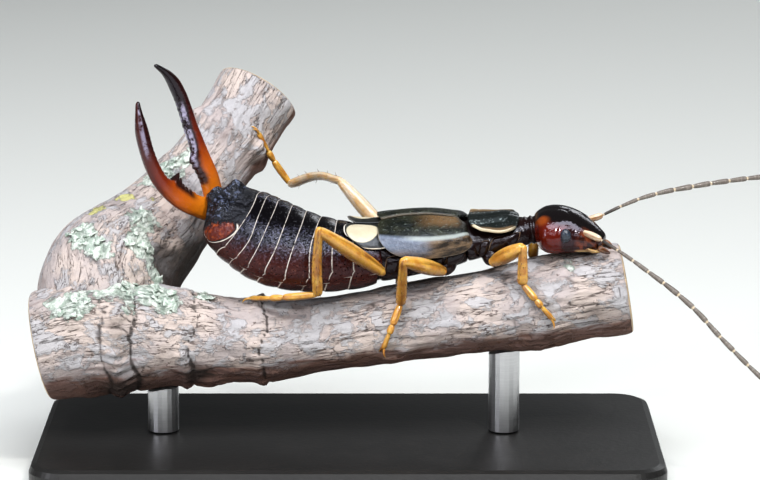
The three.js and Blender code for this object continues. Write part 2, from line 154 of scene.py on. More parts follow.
class Guide:
    """A smooth curve through points. side tells which way the left of a piece on it lies."""

    def __init__(self, points, side=None):
        data = bpy.data.curves.new("guide", "CURVE")
        data.dimensions = "3D"
        data.resolution_u = 32
        data.twist_mode = "Z_UP" if side else "MINIMUM"
        spline = data.splines.new("BEZIER")
        spline.tilt_interpolation = "CARDINAL"
        spline.bezier_points.add(len(points) - 1)
        for corner, place in zip(spline.bezier_points, points):
            corner.co = place
            corner.handle_left_type = corner.handle_right_type = "AUTO"
        self.curve = bpy.data.objects.new("guide", data)
        bpy.context.collection.objects.link(self.curve)
        bpy.context.view_layer.update()
        corners = spline.bezier_points
        self.track, self.stops = [Vector(points[0])], [0.0]
        length = 0.0
        for one, two in zip(corners[:-1], corners[1:]):
            steps = interpolate_bezier(one.co, one.handle_right, two.handle_left, two.co, 33)
            for place in steps[1:]:
                length += (place - self.track[-1]).length
                self.track.append(place)
            self.stops.append(length)
        lengths = [(b - a).length for a, b in zip(self.track[:-1], self.track[1:])]
        self.lengths = np.cumsum([0.0] + lengths)
        self.length = length
        if side:
            for number, corner in enumerate(corners):
                ahead = (corner.handle_right - corner.handle_left).normalized()
                up = ahead.cross(side(number / (len(corners) - 1)))
                if up.dot(Vector((0.3, -0.3, 1))) < 0:
                    up.negate()
                level = Vector((0, 0, 1)) - ahead * ahead.z
                corner.tilt = math.atan2(level.cross(up).dot(ahead), level.dot(up))

    def at_x(self, x):
        """How far along the guide its middle line passes world X = x."""
        xs = np.array([place.x for place in self.track])
        order = np.argsort(xs)
        return float(np.interp(x, xs[order], self.lengths[order]))

    def bend(self, *pieces):
        for piece in pieces:
            modify(piece, "CURVE", object=self.curve, deform_axis="POS_X")

    def done(self):
        bpy.data.objects.remove(self.curve)


def along(table, x):
    """The values of a table's rows at x, on a smooth line through them. A row starts with its place."""
    rows = np.array(table, float)
    places, values = rows[:, 0], rows[:, 1:]
    slopes = np.gradient(values, places, axis=0)
    spot = float(np.clip(x, places[0], places[-1]))
    k = int(np.clip(np.searchsorted(places, spot) - 1, 0, len(places) - 2))
    span = places[k + 1] - places[k]
    t = (spot - places[k]) / span
    h = (2 * t**3 - 3 * t**2 + 1, t**3 - 2 * t**2 + t, 3 * t**2 - 2 * t**3, t**3 - t**2)
    return h[0] * values[k] + h[1] * span * slopes[k] + h[2] * values[k + 1] + h[3] * span * slopes[k + 1]


# %% [markdown]
# The hard plates of an insect lie on its body like roof slates. A plate cut out of the trunk with
# planes has ragged corners that show in a gloss, so a plate is a grid laid over the trunk point by
# point, then given its thickness and smoothed.

# %% Laid plates and the finishing tool
def laid(name, rows, columns, place, thickness, levels=1, rim=None):
    """A grid laid by place(u, v), whose third chart value comes from rim(u, v)."""
    fresh()
    bpy.ops.mesh.primitive_grid_add(x_subdivisions=rows, y_subdivisions=columns, size=1)
    piece = bpy.context.object
    piece.name = name
    notes = []
    for corner in piece.data.vertices:
        u, v = corner.co.x + 0.5, corner.co.y + 0.5
        corner.co = place(u, v)
        angle = math.degrees(math.atan2(corner.co.y, corner.co.z))
        notes.append((corner.co.x, angle, rim(u, v) if rim else 1))
    chart(piece, notes)
    modify(piece, "SOLIDIFY", thickness=thickness, offset=-1)
    smooth(piece, levels)
    note_straight(piece)
    return piece


def outward(piece):
    """A plate that was laid mirrored is inside out, so its faces are turned."""
    fresh()
    piece.select_set(True)
    bpy.context.view_layer.objects.active = piece
    bpy.ops.object.mode_set(mode="EDIT")
    bpy.ops.mesh.select_all(action="SELECT")
    bpy.ops.mesh.normals_make_consistent(inside=False)
    bpy.ops.object.mode_set(mode="OBJECT")
    return piece


def finished(piece, material, slot, *nodes):
    fresh()
    piece.select_set(True)
    bpy.context.view_layer.objects.active = piece
    piece.scale = (MM, MM, MM)
    bpy.ops.object.transform_apply()
    bpy.ops.object.shade_smooth()
    piece.data.materials.clear()
    piece.data.materials.append(material)
    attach(piece, "root")
    if nodes:
        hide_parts(*nodes)
    return piece


def joined(name, pieces):
    fresh()
    for piece in pieces:
        piece.select_set(True)
    bpy.context.view_layer.objects.active = pieces[0]
    bpy.ops.object.join()
    pieces[0].name = name
    return pieces[0]


# %% [markdown]
# ## Tools for finishes
# A finish is a small network of shader nodes. A wrapper round a socket lets its maths be written
# as plain arithmetic, and one method adds any other node.

# %% Shader arithmetic
class Value:
    """An output socket of a finish. Arithmetic on it adds Math nodes."""

    def __init__(self, finish, socket):
        self.finish, self.socket = finish, socket

    def math(self, operation, first, second):
        return self.finish.node("ShaderNodeMath", {"operation": operation}, {0: first, 1: second})

    def __add__(self, other):
        return self.math("ADD", self, other)

    __radd__ = __add__

    def __sub__(self, other):
        return self.math("SUBTRACT", self, other)

    def __rsub__(self, other):
        return self.math("SUBTRACT", other, self)

    def __mul__(self, other):
        return self.math("MULTIPLY", self, other)

    __rmul__ = __mul__

    def __truediv__(self, other):
        return self.math("DIVIDE", self, other)

    def __pow__(self, other):
        return self.math("POWER", self, other)

    def most(self, other):
        return self.math("MAXIMUM", self, other)

    def size(self):
        return self.math("ABSOLUTE", self, 0)


class Finish:
    """A material in the making."""

    def __init__(self, name):
        self.material = bpy.data.materials.new(name)
        self.material.use_nodes = True
        self.material.node_tree.nodes.clear()
        place = self.node("ShaderNodeTexCoord", {}, {}, "Object")
        self.place = self.node("ShaderNodeMapping", {}, {"Vector": place, "Scale": (1 / MM,) * 3})

    def node(self, kind, settings, sockets, output=0):
        made = self.material.node_tree.nodes.new(kind)
        for name, value in settings.items():
            if name == "stops":
                while len(made.color_ramp.elements) < len(value):
                    made.color_ramp.elements.new(1)
                for stop, (position, colour) in zip(made.color_ramp.elements, value):
                    stop.position, stop.color = position, (*colour, 1)
            else:
                setattr(made, name, value)
        for name, value in sockets.items():
            socket = made.inputs[name]
            if isinstance(value, Value):
                self.material.node_tree.links.new(value.socket, socket)
            elif socket.type == "RGBA":
                socket.default_value = (*value, 1)
            else:
                socket.default_value = value
        return Value(self, made.outputs[output]) if made.outputs else made

    def chart(self):
        """Along in millimetres, angle in degrees, and the third value."""
        read = self.node("ShaderNodeAttribute", {"attribute_name": "chart"}, {}, "Vector")
        return [self.node("ShaderNodeSeparateXYZ", {}, {0: read}, axis) for axis in "XYZ"]

    def mapped(self, place, scale):
        return self.node("ShaderNodeMapping", {}, {"Vector": place, "Scale": scale})

    def straight(self, scale=(1, 1, 1)):
        """The place before the bend, in millimetres, so that a pattern can be stretched along a piece."""
        read = self.node("ShaderNodeAttribute", {"attribute_name": "straight"}, {}, "Vector")
        return self.mapped(read, scale)

    def noise(self, scale, detail=3, rough=0.55, place=None, warp=0):
        sockets = {"Vector": place or self.place, "Scale": scale, "Detail": detail}
        sockets |= {"Roughness": rough, "Distortion": warp}
        return self.node("ShaderNodeTexNoise", {}, sockets)

    def cells(self, scale):
        """How far the middle of the nearest of many small cells is."""
        sockets = {"Vector": self.place, "Scale": scale}
        return self.node("ShaderNodeTexVoronoi", {"feature": "F1"}, sockets, "Distance")

    def step(self, value, low, high):
        """0 below low, 1 above high, and smooth between them, either way round."""
        sockets = {"Value": value, "From Min": low, "From Max": high}
        return self.node("ShaderNodeMapRange", {"interpolation_type": "SMOOTHSTEP"}, sockets)

    def mix(self, factor, first, second):
        sockets = {0: factor, 6: first, 7: second}
        return self.node("ShaderNodeMix", {"data_type": "RGBA"}, sockets, 2)

    def ramp(self, value, stops):
        return self.node("ShaderNodeValToRGB", {"stops": stops}, {0: value})

    def bump(self, height, distance):
        """Small relief, whose height of 1 stands distance millimetres proud."""
        sockets = {"Height": height, "Distance": distance * MM, "Strength": 1}
        return self.node("ShaderNodeBump", {}, sockets)

    def done(self, **sockets):
        """The shader's sockets by name, with _ for a space."""
        named = {name.replace("_", " "): value for name, value in sockets.items()}
        shader = self.node("ShaderNodeBsdfPrincipled", {}, named)
        self.node("ShaderNodeOutputMaterial", {}, {"Surface": shader})
        return self.material


# %% [markdown]
# ## Cuticle
# The body is covered in hard, dark cuticle. Its rings are almost black on the back and red-brown
# low on the flanks, with fine punctures that break the gloss into specks, and each plate ends in a
# thin cream edge. Painted light lies in the colour too: lilac-grey painted highlight specks on the
# upper flanks, lighter red painted glints low on them, and painted shade in the punctures. The
# chart tells the angle round the body and the distance from the edge.

# %% Finish of the abdomen's rings
CREAM_EDGE = (0.62, 0.56, 0.5)


def ring_finish():
    paint = Finish("ring_cuticle")
    _, angle, rim = paint.chart()
    turn = angle.size()
    mottle = paint.noise(2.2, 4)
    flank = paint.step(turn + 30 * (mottle - 0.5), 52, 84)
    colour = paint.mix(flank, (0.003, 0.0022, 0.003), (0.05, 0.0085, 0.004))
    belly = paint.step(turn, 112, 130)
    colour = paint.mix(belly, colour, (0.008, 0.003, 0.003))
    glint_noise = paint.noise(10, 3, 0.7)
    # Painted highlight: lilac-grey specks in a band on the upper flanks.
    painted_highlight = paint.step(turn, 16, 36) * paint.step(turn, 84, 62) * paint.step(glint_noise, 0.5, 0.64)
    colour = paint.mix(painted_highlight * 0.75, colour, (0.1, 0.1, 0.15))
    # Painted glints: lighter red specks low on the flanks.
    colour = paint.mix(flank * paint.step(glint_noise, 0.56, 0.68) * 0.5, colour, (0.2, 0.07, 0.045))
    pits = paint.cells(10)
    # Painted shade: the punctures are darkened.
    colour = paint.mix(paint.step(pits, 0.3, 0.05) * 0.6, colour, (0.002, 0.001, 0.001))
    broken = paint.noise(9, 3)
    edge = paint.step(rim + 0.03 * (broken - 0.5), 0.04, 0.026)
    colour = paint.mix(edge * paint.step(broken, 0.3, 0.5), colour, CREAM_EDGE)
    satin = paint.step(turn, 14, 34)
    height = (paint.step(pits, 0.02, 0.36) + 0.6 * paint.noise(16, 2)) * (0.25 + 0.75 * satin)
    return paint.done(
        Base_Color=colour,
        Roughness=0.13 + 0.1 * mottle + 0.25 * edge,
        Specular_IOR_Level=0.36,
        Specular_Tint=(0.82, 0.84, 1),
        Normal=paint.bump(height, 0.035),
    )


RING = ring_finish()
print("finish:", RING.name)

# %% [markdown]
# The thorax is smoother and blacker than the rings, with tawny seams where its plates meet. One
# noise serves for its colour, its gloss and the ragged line of its seams, so they vary together.

# %% Finish of the thorax
def thorax_finish():
    paint = Finish("thorax_cuticle")
    _, _, rim = paint.chart()
    mottle = paint.noise(2.5, 4)
    colour = paint.mix(mottle, (0.003, 0.0025, 0.0035), (0.022, 0.009, 0.007))
    seam = paint.step(rim + 0.05 * (mottle - 0.5), 0.075, 0.03)
    colour = paint.mix(seam * 0.8, colour, (0.42, 0.3, 0.2))
    return paint.done(
        Base_Color=colour,
        Roughness=0.07 + 0.14 * mottle,
        Specular_IOR_Level=0.38,
        Specular_Tint=(0.88, 0.9, 1),
        Normal=paint.bump(paint.noise(6, 3), 0.03),
    )


THORAX = thorax_finish()
print("finish:", THORAX.name)

# %% [markdown]
# The shield is black, with a flecked grey painted highlight beside its groove, tawny rear corners and
# a thin cream edge. The rim runs along its sides only, so the front and rear edges stay dark.

# %% Finish of the shield
def shield_finish():
    paint = Finish("shield_cuticle")
    x, angle, rim = paint.chart()
    turn = angle.size()
    mottle = paint.noise(3, 4)
    fleck = paint.noise(11, 3)
    colour = paint.mix(mottle, (0.003, 0.005, 0.0045), (0.022, 0.026, 0.024))
    # Painted highlight: middle marks a grey band with light flecks beside the groove.
    middle = paint.step(turn, 14, 24) * paint.step(turn, 40, 34) * paint.step(x, 0.7, 1.0)
    colour = paint.mix(middle * 0.6, colour, (0.05, 0.06, 0.062))
    colour = paint.mix(paint.step(fleck, 0.56, 0.64) * middle, colour, (0.26, 0.3, 0.3))
    margin = paint.step(rim + 0.12 * (mottle - 0.5), 0.2, 0.11)
    back_corner = paint.step(x, 0.5, 0.75)
    colour = paint.mix(margin * back_corner * 0.7, colour, (0.22, 0.145, 0.08))
    side_edge = paint.step(rim, 0.05, 0.024)
    colour = paint.mix(side_edge * (0.35 + 0.65 * back_corner), colour, (0.56, 0.48, 0.34))
    pits = paint.cells(9)
    return paint.done(
        Base_Color=colour,
        Roughness=0.1 + 0.12 * mottle,
        Specular_IOR_Level=0.5,
        Specular_Tint=(0.82, 0.9, 1),
        Normal=paint.bump(paint.step(pits, 0, 0.3) + 0.5 * paint.noise(6, 3), 0.02),
    )


SHIELD = shield_finish()
print("finish:", SHIELD.name)

# %% [markdown]
# A wing cover has a green-black top with bronze in front, a ridge with a pale painted highlight along
# it, and a side that is streaked brown in front and has a blue-grey painted reflection behind.
# Painted shade darkens the front upper corner. The ridge falls towards the front corner and the
# tail, so each zone is told by how many degrees past the ridge it lies.

# %% Finish of the wing covers
def wing_cover_finish():
    paint = Finish("wing_cover")
    x, angle, rim = paint.chart()
    turn = angle.size()
    mottle = paint.noise(2, 4)
    fleck = paint.noise(10, 3)
    ridge_line = 59 - 5.2 * (x - 3).most(0) ** 1.6 - 7 * (2.5 - x).most(0)
    past = turn - ridge_line
    colour = paint.mix(paint.step(mottle, 0.35, 0.65), (0.004, 0.006, 0.004), (0.026, 0.027, 0.015))
    front = paint.step(x, 3.9, 2.9)
    bronze = paint.step(turn + 20 * (mottle - 0.5), 46, 26) * front * paint.step(angle, 1, 7)
    colour = paint.mix(bronze * 0.8, colour, (0.17, 0.095, 0.035))
    colour = paint.mix(paint.step(fleck, 0.6, 0.68) * 0.5, colour, (0.17, 0.2, 0.17))
    # Painted shade: corner darkens the front upper corner of the cover, as in a hollow.
    corner = paint.step(x, 2.45, 2.15) * paint.step(turn, 50, 40)
    colour = paint.mix(corner * 0.92, colour, (0.004, 0.005, 0.004))
    side = paint.step(past + 4 * (mottle - 0.5), 0, 4)
    streak = paint.noise(1.2, 4, 0.6, paint.straight((0.8, 5, 5)))
    brown = paint.mix(paint.step(streak, 0.36, 0.64), (0.022, 0.014, 0.008), (0.16, 0.105, 0.06))
    colour = paint.mix(side, colour, brown)
    # Painted reflection: a flecked blue-grey zone on the rear of the side, just past the ridge.
    behind = paint.step(x + 0.3 * (mottle - 0.5), 3.1, 3.7)
    painted_highlight = paint.step(past, -6, 2) * paint.step(past, 30, 10) * behind
    painted_reflection_colour = paint.mix(fleck, (0.07, 0.095, 0.145), (0.3, 0.34, 0.43))
    colour = paint.mix(painted_highlight * 0.85, colour, painted_reflection_colour)
    # Painted highlight: a pale line along the ridge.
    ridge = paint.step(past.size(), 5, 1) * paint.step(x, 4.3, 3.7)
    colour = paint.mix(ridge * 0.75, colour, (0.42, 0.46, 0.44))
    suture = paint.step(turn, 4, 1.8)
    colour = paint.mix(suture * 0.6, colour, (0.15, 0.12, 0.085))
    low_edge = paint.step(rim, 0.05, 0.02) * paint.step(turn, 20, 40)
    colour = paint.mix(low_edge * 0.5, colour, (0.4, 0.36, 0.3))
    return paint.done(
        Base_Color=colour,
        Roughness=0.13 + 0.14 * mottle,
        Specular_IOR_Level=0.45,
        Specular_Tint=(0.85, 0.92, 1),
        Normal=paint.bump(fleck + 0.5 * paint.noise(20, 2), 0.03),
    )


WING_COVER = wing_cover_finish()
print("finish:", WING_COVER.name)

# %% [markdown]
# The folded wing's tip is dark with one big cream spot and a thin cream edge. Seen from this side
# the far tip shows only a corner, so there the spot is smaller and lower, and the edge is dim.

# %% Finish of the wing tips
TIP_SPOT = (5.47, 0.56, 26, 24)  # place, half length, angle, half angle


def wing_tip_finish():
    paint = Finish("wing_tip")
    x, angle, rim = paint.chart()
    spot_x, half_length, spot_turn, half_turn = TIP_SPOT
    mottle = paint.noise(3, 3)
    dark = paint.mix(mottle, (0.006, 0.007, 0.007), (0.03, 0.03, 0.026))
    far = paint.step(angle, 0, -3)
    length, across = half_length - 0.1 * far, half_turn - 7 * far
    away = ((x - spot_x) / length) ** 2 + ((angle.size() - spot_turn - 10 * far) / across) ** 2
    spot = paint.step(away + 0.2 * (mottle - 0.5), 1.05, 0.88)
    cream = paint.mix(mottle, (0.46, 0.4, 0.28), (0.68, 0.62, 0.46))
    colour = paint.mix(spot, dark, cream)
    edge = paint.step(rim, 0.05, 0.028)
    colour = paint.mix(edge * (1 - 0.85 * far), colour, (0.8, 0.76, 0.68))
    return paint.done(
        Base_Color=colour,
        Roughness=0.25 + 0.2 * mottle,
        Specular_Tint=(0.85, 0.9, 1),
        Normal=paint.bump(paint.noise(8, 3), 0.02),
    )


WING_TIP = wing_tip_finish()
print("finish:", WING_TIP.name)

# %% [markdown]
# ## Trunk
# The trunk's middle line and girth are the solids' own. A guide carries the middle line, and the
# back leans towards the viewer by ten degrees, more towards the tail.

# %% The trunk's measures
BODY_ROLL = 10
TAIL_SIDE = Vector((0.57, 0.69, 0.44))
TRUNK = [
    [(5.9, -0.04, 7.85), 0.45, 0.4],
    [(5.4, -0.02, 7.76), 0.72, 0.52],
    [(4.65, 0, 7.63), 0.86, 0.56],
    [(3.95, 0, 7.52), 0.92, 0.64],
    [(3.24, 0, 7.4), 1.04, 0.74],
    [(1.8, 0, 7.17), 1.15, 0.84],
    [(0.9, 0, 7.05), 1.2, 0.9],
    [(0.1, 0, 6.99), 1.36, 1],
    [(-0.9, 0.02, 7.03), 1.54, 1.1],
    [(-1.8, 0.1, 7.18), 1.65, 1.16],
    [(-2.5, 0.24, 7.41), 1.65, 1.14],
    [(-3.15, 0.42, 7.75), 1.5, 1.02],
    [(-3.9, 0.7, 8.16), 1.3, 0.84],
    [(-4.6, 1, 8.5), 1, 0.6],
]


def trunk_side(part):
    turn = min(max((part - 0.5) / 0.5, 0), 1)
    turn = turn * turn * (3 - 2 * turn)
    thorax = Vector((0, math.cos(math.radians(BODY_ROLL)), math.sin(math.radians(BODY_ROLL))))
    return thorax.lerp(TAIL_SIDE, turn)


trunk = Guide([place for place, *_ in TRUNK], trunk_side)
GIRTH = [(stop, wide, high) for stop, (_, wide, high) in zip(trunk.stops, TRUNK)]
print(f"trunk: {trunk.length:.2f} mm along its middle")


def on_trunk(s, angle, lift=0.0, square=2.0):
    """A point on the straight trunk: angle in degrees from the back towards the viewer. square above 2
    makes the section squarer."""
    wide, high = (float(n) for n in along(GIRTH, s))
    turn = math.radians(angle)
    sine, cosine = math.sin(turn), math.cos(turn)
    swell = (abs(sine) ** square + abs(cosine) ** square) ** (-1 / square)
    return Vector((s, (wide + lift) * sine * swell, (high + lift) * cosine * swell))


def trunk_form(name, start, end, lift, steps=6, levels=1, sides=32):
    """The trunk's own body between two places, as a closed form."""
    stations = []
    for number in range(steps + 1):
        s = start + (end - start) * number / steps
        wide, high = along(GIRTH, s)
        stations.append((s, wide + lift, high + lift))
    first, last = stations[0], stations[-1]
    nose = (first[0] - 0.02, first[1] * 0.9, first[2] * 0.9)
    tail = (last[0] + 0.02, last[1] * 0.9, last[2] * 0.9)
    return turned(name, [nose, *stations, tail], sides, levels)


# %% [markdown]
# Each ring of the abdomen is a back plate that wraps far down the flanks, over a belly plate. The
# rings slide into each other, and the body bends to one side, so their rear edges aren't plane
# sections: a table gives each edge's place at four angles. The lower rear corner of a back plate is
# rounded into a lobe, and the belly plate's edge runs on rearwards from it. A dark inner form fills
# the body and shows only in the joints.

# %% Rings of the abdomen
EDGE_ANGLES = (-31, 10, 50, 85)
RING_EDGES = [  # the front edge of the first plate, then each plate's rear edge, at those angles
    (5.02, 5.02, 5.02, 5.02),
    (5.83, 5.83, 5.82, 5.82),
    (6.4, 6.45, 6.5, 6.47),
    (6.99, 7.09, 7.17, 7.1),
    (7.7, 7.63, 7.66, 7.69),
    (8.4, 8.18, 8.11, 8.19),
    (9.05, 8.77, 8.62, 8.66),
    (9.4, 9.17, 8.95, 9.03),
    (9.72, 9.45, 9.41, 9.53),
]
SIDE_REACH = [103, 100, 109, 113, 108, 104, 97, 90]  # degrees from the back to each plate's lower edge
RING_NODES = [(1,), (), (2,), (3,), (4,), (5,), (6,), (7,)]  # the second plate has no solid of its own
CORNER = 20  # degrees that the rounded lower corner takes
RING_PLATE = 0.035


def ring_edge(number, angle):
    return float(along(list(zip(EDGE_ANGLES, RING_EDGES[number])), angle)[0])


def back_plate(name, number, reach, tuck=0.13):
    def place(u, v):
        angle = (2 * v - 1) * reach
        front, rear = ring_edge(number, angle) - tuck, ring_edge(number + 1, angle)
        low = max(0.0, (abs(angle) - (reach - CORNER)) / CORNER)
        rear -= 0.6 * (rear - front - tuck) * (1 - math.sqrt(max(0.0, 1 - low**2)))
        crown = 0.045 * math.sin(math.pi * min(1, u * 1.02)) + 0.05 * u - 0.03
        return on_trunk(front + (rear - front) * u, angle, crown)

    def rim(u, v):
        angle = (2 * v - 1) * reach
        length = ring_edge(number + 1, angle) - ring_edge(number, angle) + tuck
        return min((1 - u) * length, 2.6 * min(v, 1 - v) * math.radians(reach))

    return laid(name, 9, 59, place, RING_PLATE, 1, rim)


def belly_plate(name, number, reach, tuck=0.1):
    half = 180 - reach + 16  # it tucks 16 degrees under the back plate

    def place(u, v):
        across = 2 * v - 1
        angle = 180 - across * half
        edge_angle = angle if angle < 180 else angle - 360
        front, rear = ring_edge(number, edge_angle) - tuck, ring_edge(number + 1, edge_angle)
        swell = 0.26 * (1 - across**2) ** 0.6
        s = front + (rear - 0.04 - front) * u + swell
        return on_trunk(s, angle, 0.03 * math.sin(math.pi * u) + 0.035 * u - 0.05)

    def rim(u, v):
        return (1 - u) * (ring_edge(number + 1, 100) - ring_edge(number, 100) + tuck)

    return laid(name, 7, 33, place, RING_PLATE, 1, rim)


for number, nodes in enumerate(RING_NODES):
    reach = SIDE_REACH[number]
    back = back_plate(f"ring_{number + 1}_back", number, reach)
    belly = belly_plate(f"ring_{number + 1}_belly", number, reach)
    front, rear = RING_EDGES[number][2] - 0.1, RING_EDGES[number + 1][2]
    core = trunk_form(f"ring_{number + 1}_inner", front, rear, -0.1, 2)
    round_chart(core)
    trunk.bend(back, belly, core)
    slot = "red_cuticle" if number > 4 else "dark_cuticle"
    finished(back, RING, slot, *[f"abdomen_{node}" for node in nodes])
    finished(belly, RING, slot)
    finished(core, THORAX, slot)
print("plates of the abdomen:", 2 * len(RING_NODES))

# %% [markdown]
# The last ring is a rough black block with two knobs above the roots of the forceps. Low on each
# side it has an oval lobe of red-brown with a white lower edge. It is turned, and its knobs and fine
# grains are raised point by point, as they are too irregular for an operator.

# %% Finish of the last ring
RING_START, RING_END = 9.42, 11.0
LOBE_CENTRE = (10.12, 67)  # place along the trunk and angle from the back, the near one
FAR_LOBE_LOWER = 32  # the far one sits lower, as the tail leans over


def lobe_axes(along_trunk, round_trunk):
    """Distances along the oval's two axes, from those in millimetres and degrees from its middle."""
    return 1.197 * along_trunk + 0.0221 * round_trunk, 0.0411 * round_trunk - 1.2825 * along_trunk


def last_ring_finish():
    paint = Finish("last_ring")
    x, angle, _ = paint.chart()
    lower = FAR_LOBE_LOWER * paint.step(angle, 0, -20)
    long, short = lobe_axes(x - LOBE_CENTRE[0], angle.size() - LOBE_CENTRE[1] - lower)
    lobe = (0.85 * long * long + 1.15 * short * short) ** 0.5 / 1.08
    grain = paint.noise(7, 4)
    ragged = paint.step(short + 1.2 * (grain - 0.5), -0.45, -0.1)
    glow = paint.step(lobe + 0.3 * (grain - 0.5), 0.98, 0.84) * ragged
    back = paint.step(x, 9.9, 10.3) * paint.step(angle.size(), 66, 40)
    glint = paint.step(paint.noise(7, 4, 0.7), 0.53, 0.6) * back
    colour = paint.mix(glint * 0.7, (0.0025, 0.0022, 0.003), (0.17, 0.2, 0.3))
    brown = paint.mix(paint.step(grain, 0.46, 0.68), (0.1, 0.013, 0.003), (0.3, 0.06, 0.008))
    colour = paint.mix(glow, colour, brown)
    below = paint.step(short, -0.2, 0.05)
    belly = paint.step(lobe, 1.0, 1.1) * below
    colour = paint.mix(belly, colour, (0.035, 0.009, 0.006))
    line = paint.step((lobe - 1.03).size(), 0.042, 0.018) * below
    colour = paint.mix(line, colour, (0.72, 0.66, 0.58))
    relief = paint.noise(8, 4) + 0.5 * paint.noise(19, 3) + 0.4 * paint.step(paint.cells(11), 0, 0.35)
    return paint.done(
        Base_Color=colour,
        Roughness=0.09 + 0.1 * grain,
        Specular_IOR_Level=0.45,
        Specular_Tint=(0.82, 0.86, 1),
        Normal=paint.bump(relief * (1 - 0.5 * glow), 0.06),
    )


LAST_RING = last_ring_finish()
print("finish:", LAST_RING.name)

# %% [markdown]
# The block itself follows the trunk's girth with rounded ends. Its knobs are smooth bells at given
# places, its grain is three sizes of noise, and its rear face slants back towards the belly.

# %% Last ring
RING_KNOBS = [  # part of the length, angle, height and breadth
    (0.6, 34, 0.2, 0.15), (0.6, -36, 0.4, 0.17), (0.86, 10, 0.1, 0.1), (0.86, -12, 0.14, 0.1),
]


def block_height(spot, out):
    """How far a point of the last ring rises, and how far back it slants."""
    angle = math.degrees(math.atan2(spot.y, spot.z))
    part = (spot.x - RING_START) / (RING_END - RING_START)
    back = max(0.0, 1 - (abs(angle) / 66) ** 4)
    knob = 0.0
    for centre, turn, height, broad in RING_KNOBS:
        near = ((part - centre) / broad) ** 2 + ((angle - turn) / (110 * broad)) ** 2
        knob += height * math.exp(-near)
    rough = noise.noise(spot * 3.2) * 0.04 + noise.noise(spot * 8) * 0.03 + noise.noise(spot * 15) * 0.018
    groove = -0.05 * math.exp(-(((part - 0.5) / 0.5) ** 4) - (angle / 7) ** 2)
    lower = FAR_LOBE_LOWER if angle < 0 else 0
    long, short = lobe_axes(spot.x - LOBE_CENTRE[0], abs(angle) - LOBE_CENTRE[1] - lower)
    lobe = (0.85 * long**2 + 1.15 * short**2) / 1.17
    moat = 0.012 * math.exp(-(((lobe - 1.25) / 0.25) ** 2)) * (1 if part < 0.9 else 0)
    swell = 0.015 * max(0.0, 1 - lobe) ** 0.6 - moat
    fade = min(1, max(0, part * 6)) * (1 if out.x < 0.7 else 0.3)
    slant = max(0.0, math.sin(math.radians(abs(angle)))) ** 1.6 if abs(angle) > 4 else 0.0
    rise = fade * (back * (knob + groove) + rough * (0.35 + 0.65 * back) + swell)
    return rise, 0.5 * slant * max(0.0, part) ** 2


def last_ring():
    span = RING_END - RING_START
    stations = [(RING_START - 0.1, 0.9, 0.88), (RING_START - 0.04, 0.97, 0.96)]
    for part in (0.05, 0.2, 0.4, 0.6, 0.76, 0.88, 0.96):
        stations.append((RING_START + span * part, 1.0, 1.0))
    stations += [(RING_END + 0.03, 0.88, 0.86), (RING_END + 0.08, 0.6, 0.55)]
    shaped = []
    for s, wide, high in stations:
        girth = along(GIRTH, s)
        shaped.append((s, girth[0] * wide, girth[1] * high))
    piece = turned("last_ring", shaped, 36, 3)
    places = []
    for point in piece.data.vertices:
        spot, out = point.co.copy(), point.normal.copy()
        rise, slant = block_height(spot, out)
        place = spot + out * rise
        place.x -= slant
        places.append(place)
    round_chart(piece)
    move_points(piece, places)
    trunk.bend(piece)
    return finished(piece, LAST_RING, "red_cuticle", "last_ring")


last_ring()
print(f"last ring: {RING_END - RING_START:.2f} mm long")

# %% [markdown]
# ## Thorax, shield and wings
# Below the wing covers the flank of the thorax is made of several small glossy plates with pale
# seams. They are laid over the same dark inner form, each swelling in its middle.

# %% Thorax with its flank plates
neck, waist, wings_end = trunk.at_x(5.9), trunk.at_x(3.7), trunk.at_x(0.95)
front_form = trunk_form("prothorax", neck, waist - 0.03, -0.03, 8, 2, 24)
rear_form = trunk_form("pterothorax", waist, wings_end, -0.03, 8, 2, 24)
folds = []
for number in range(15):
    place = -0.2 + 0.05 * number
    swell = 0.035 * math.sin(number * 1.7) + 0.02 * math.sin(number * 3.1)
    folds.append((place, 0.47 + swell, 0.44 + swell))
neck_skin = turned("neck_skin", folds, 28, 2)
for form in (front_form, rear_form, neck_skin):
    round_chart(form)
trunk.bend(front_form, rear_form, neck_skin)
finished(front_form, THORAX, "dark_cuticle", "prothorax")
finished(rear_form, THORAX, "dark_cuticle", "pterothorax")
finished(neck_skin, THORAX, "dark_cuticle")


def flank_plate(name, front, rear, high, low, slant, swell=0.12):
    """A rounded plate on the flank between two places and two angles, leaning by slant degrees."""

    def place(u, v):
        across, down = 2 * u - 1, 2 * v - 1
        fit = 1 - 0.12 * (across * down) ** 2
        s = front + (rear - front) * (0.5 + 0.5 * across * fit) + slant * down
        angle = high + (low - high) * (0.5 + 0.5 * down * fit)
        crown = max(0.0, 1 - across**2) ** 0.5 * max(0.0, 1 - down**2) ** 0.5
        return on_trunk(s, angle, swell * crown - 0.02)

    def rim(u, v):
        return 1.6 * min(u, 1 - u, v, 1 - v)

    return laid(name, 11, 11, place, 0.05, 1, rim)


FLANK = [  # front and rear edge in world X, upper and lower angle, lean
    (5.45, 4.45, 58, 112, 0.14), (4.42, 4.1, 66, 124, 0.1), (4.06, 3.72, 66, 118, -0.05),
    (3.66, 3.0, 84, 122, 0.12), (2.94, 2.4, 86, 126, 0.1), (2.34, 1.9, 80, 124, 0.1),
    (1.84, 1.1, 68, 122, 0.08),
]
plates = []
for number, (front, rear, high, low, slant) in enumerate(FLANK):
    for way, side in ((1, "right"), (-1, "left")):
        ends = trunk.at_x(front), trunk.at_x(rear)
        piece = flank_plate(f"flank_{side}_{number}", *ends, high * way, low * way, slant)
        if way < 0:
            outward(piece)
        plates.append(piece)
flanks = joined("flank_plates", plates)
trunk.bend(flanks)
finished(flanks, THORAX, "dark_cuticle")
print("flank plates:", len(plates))

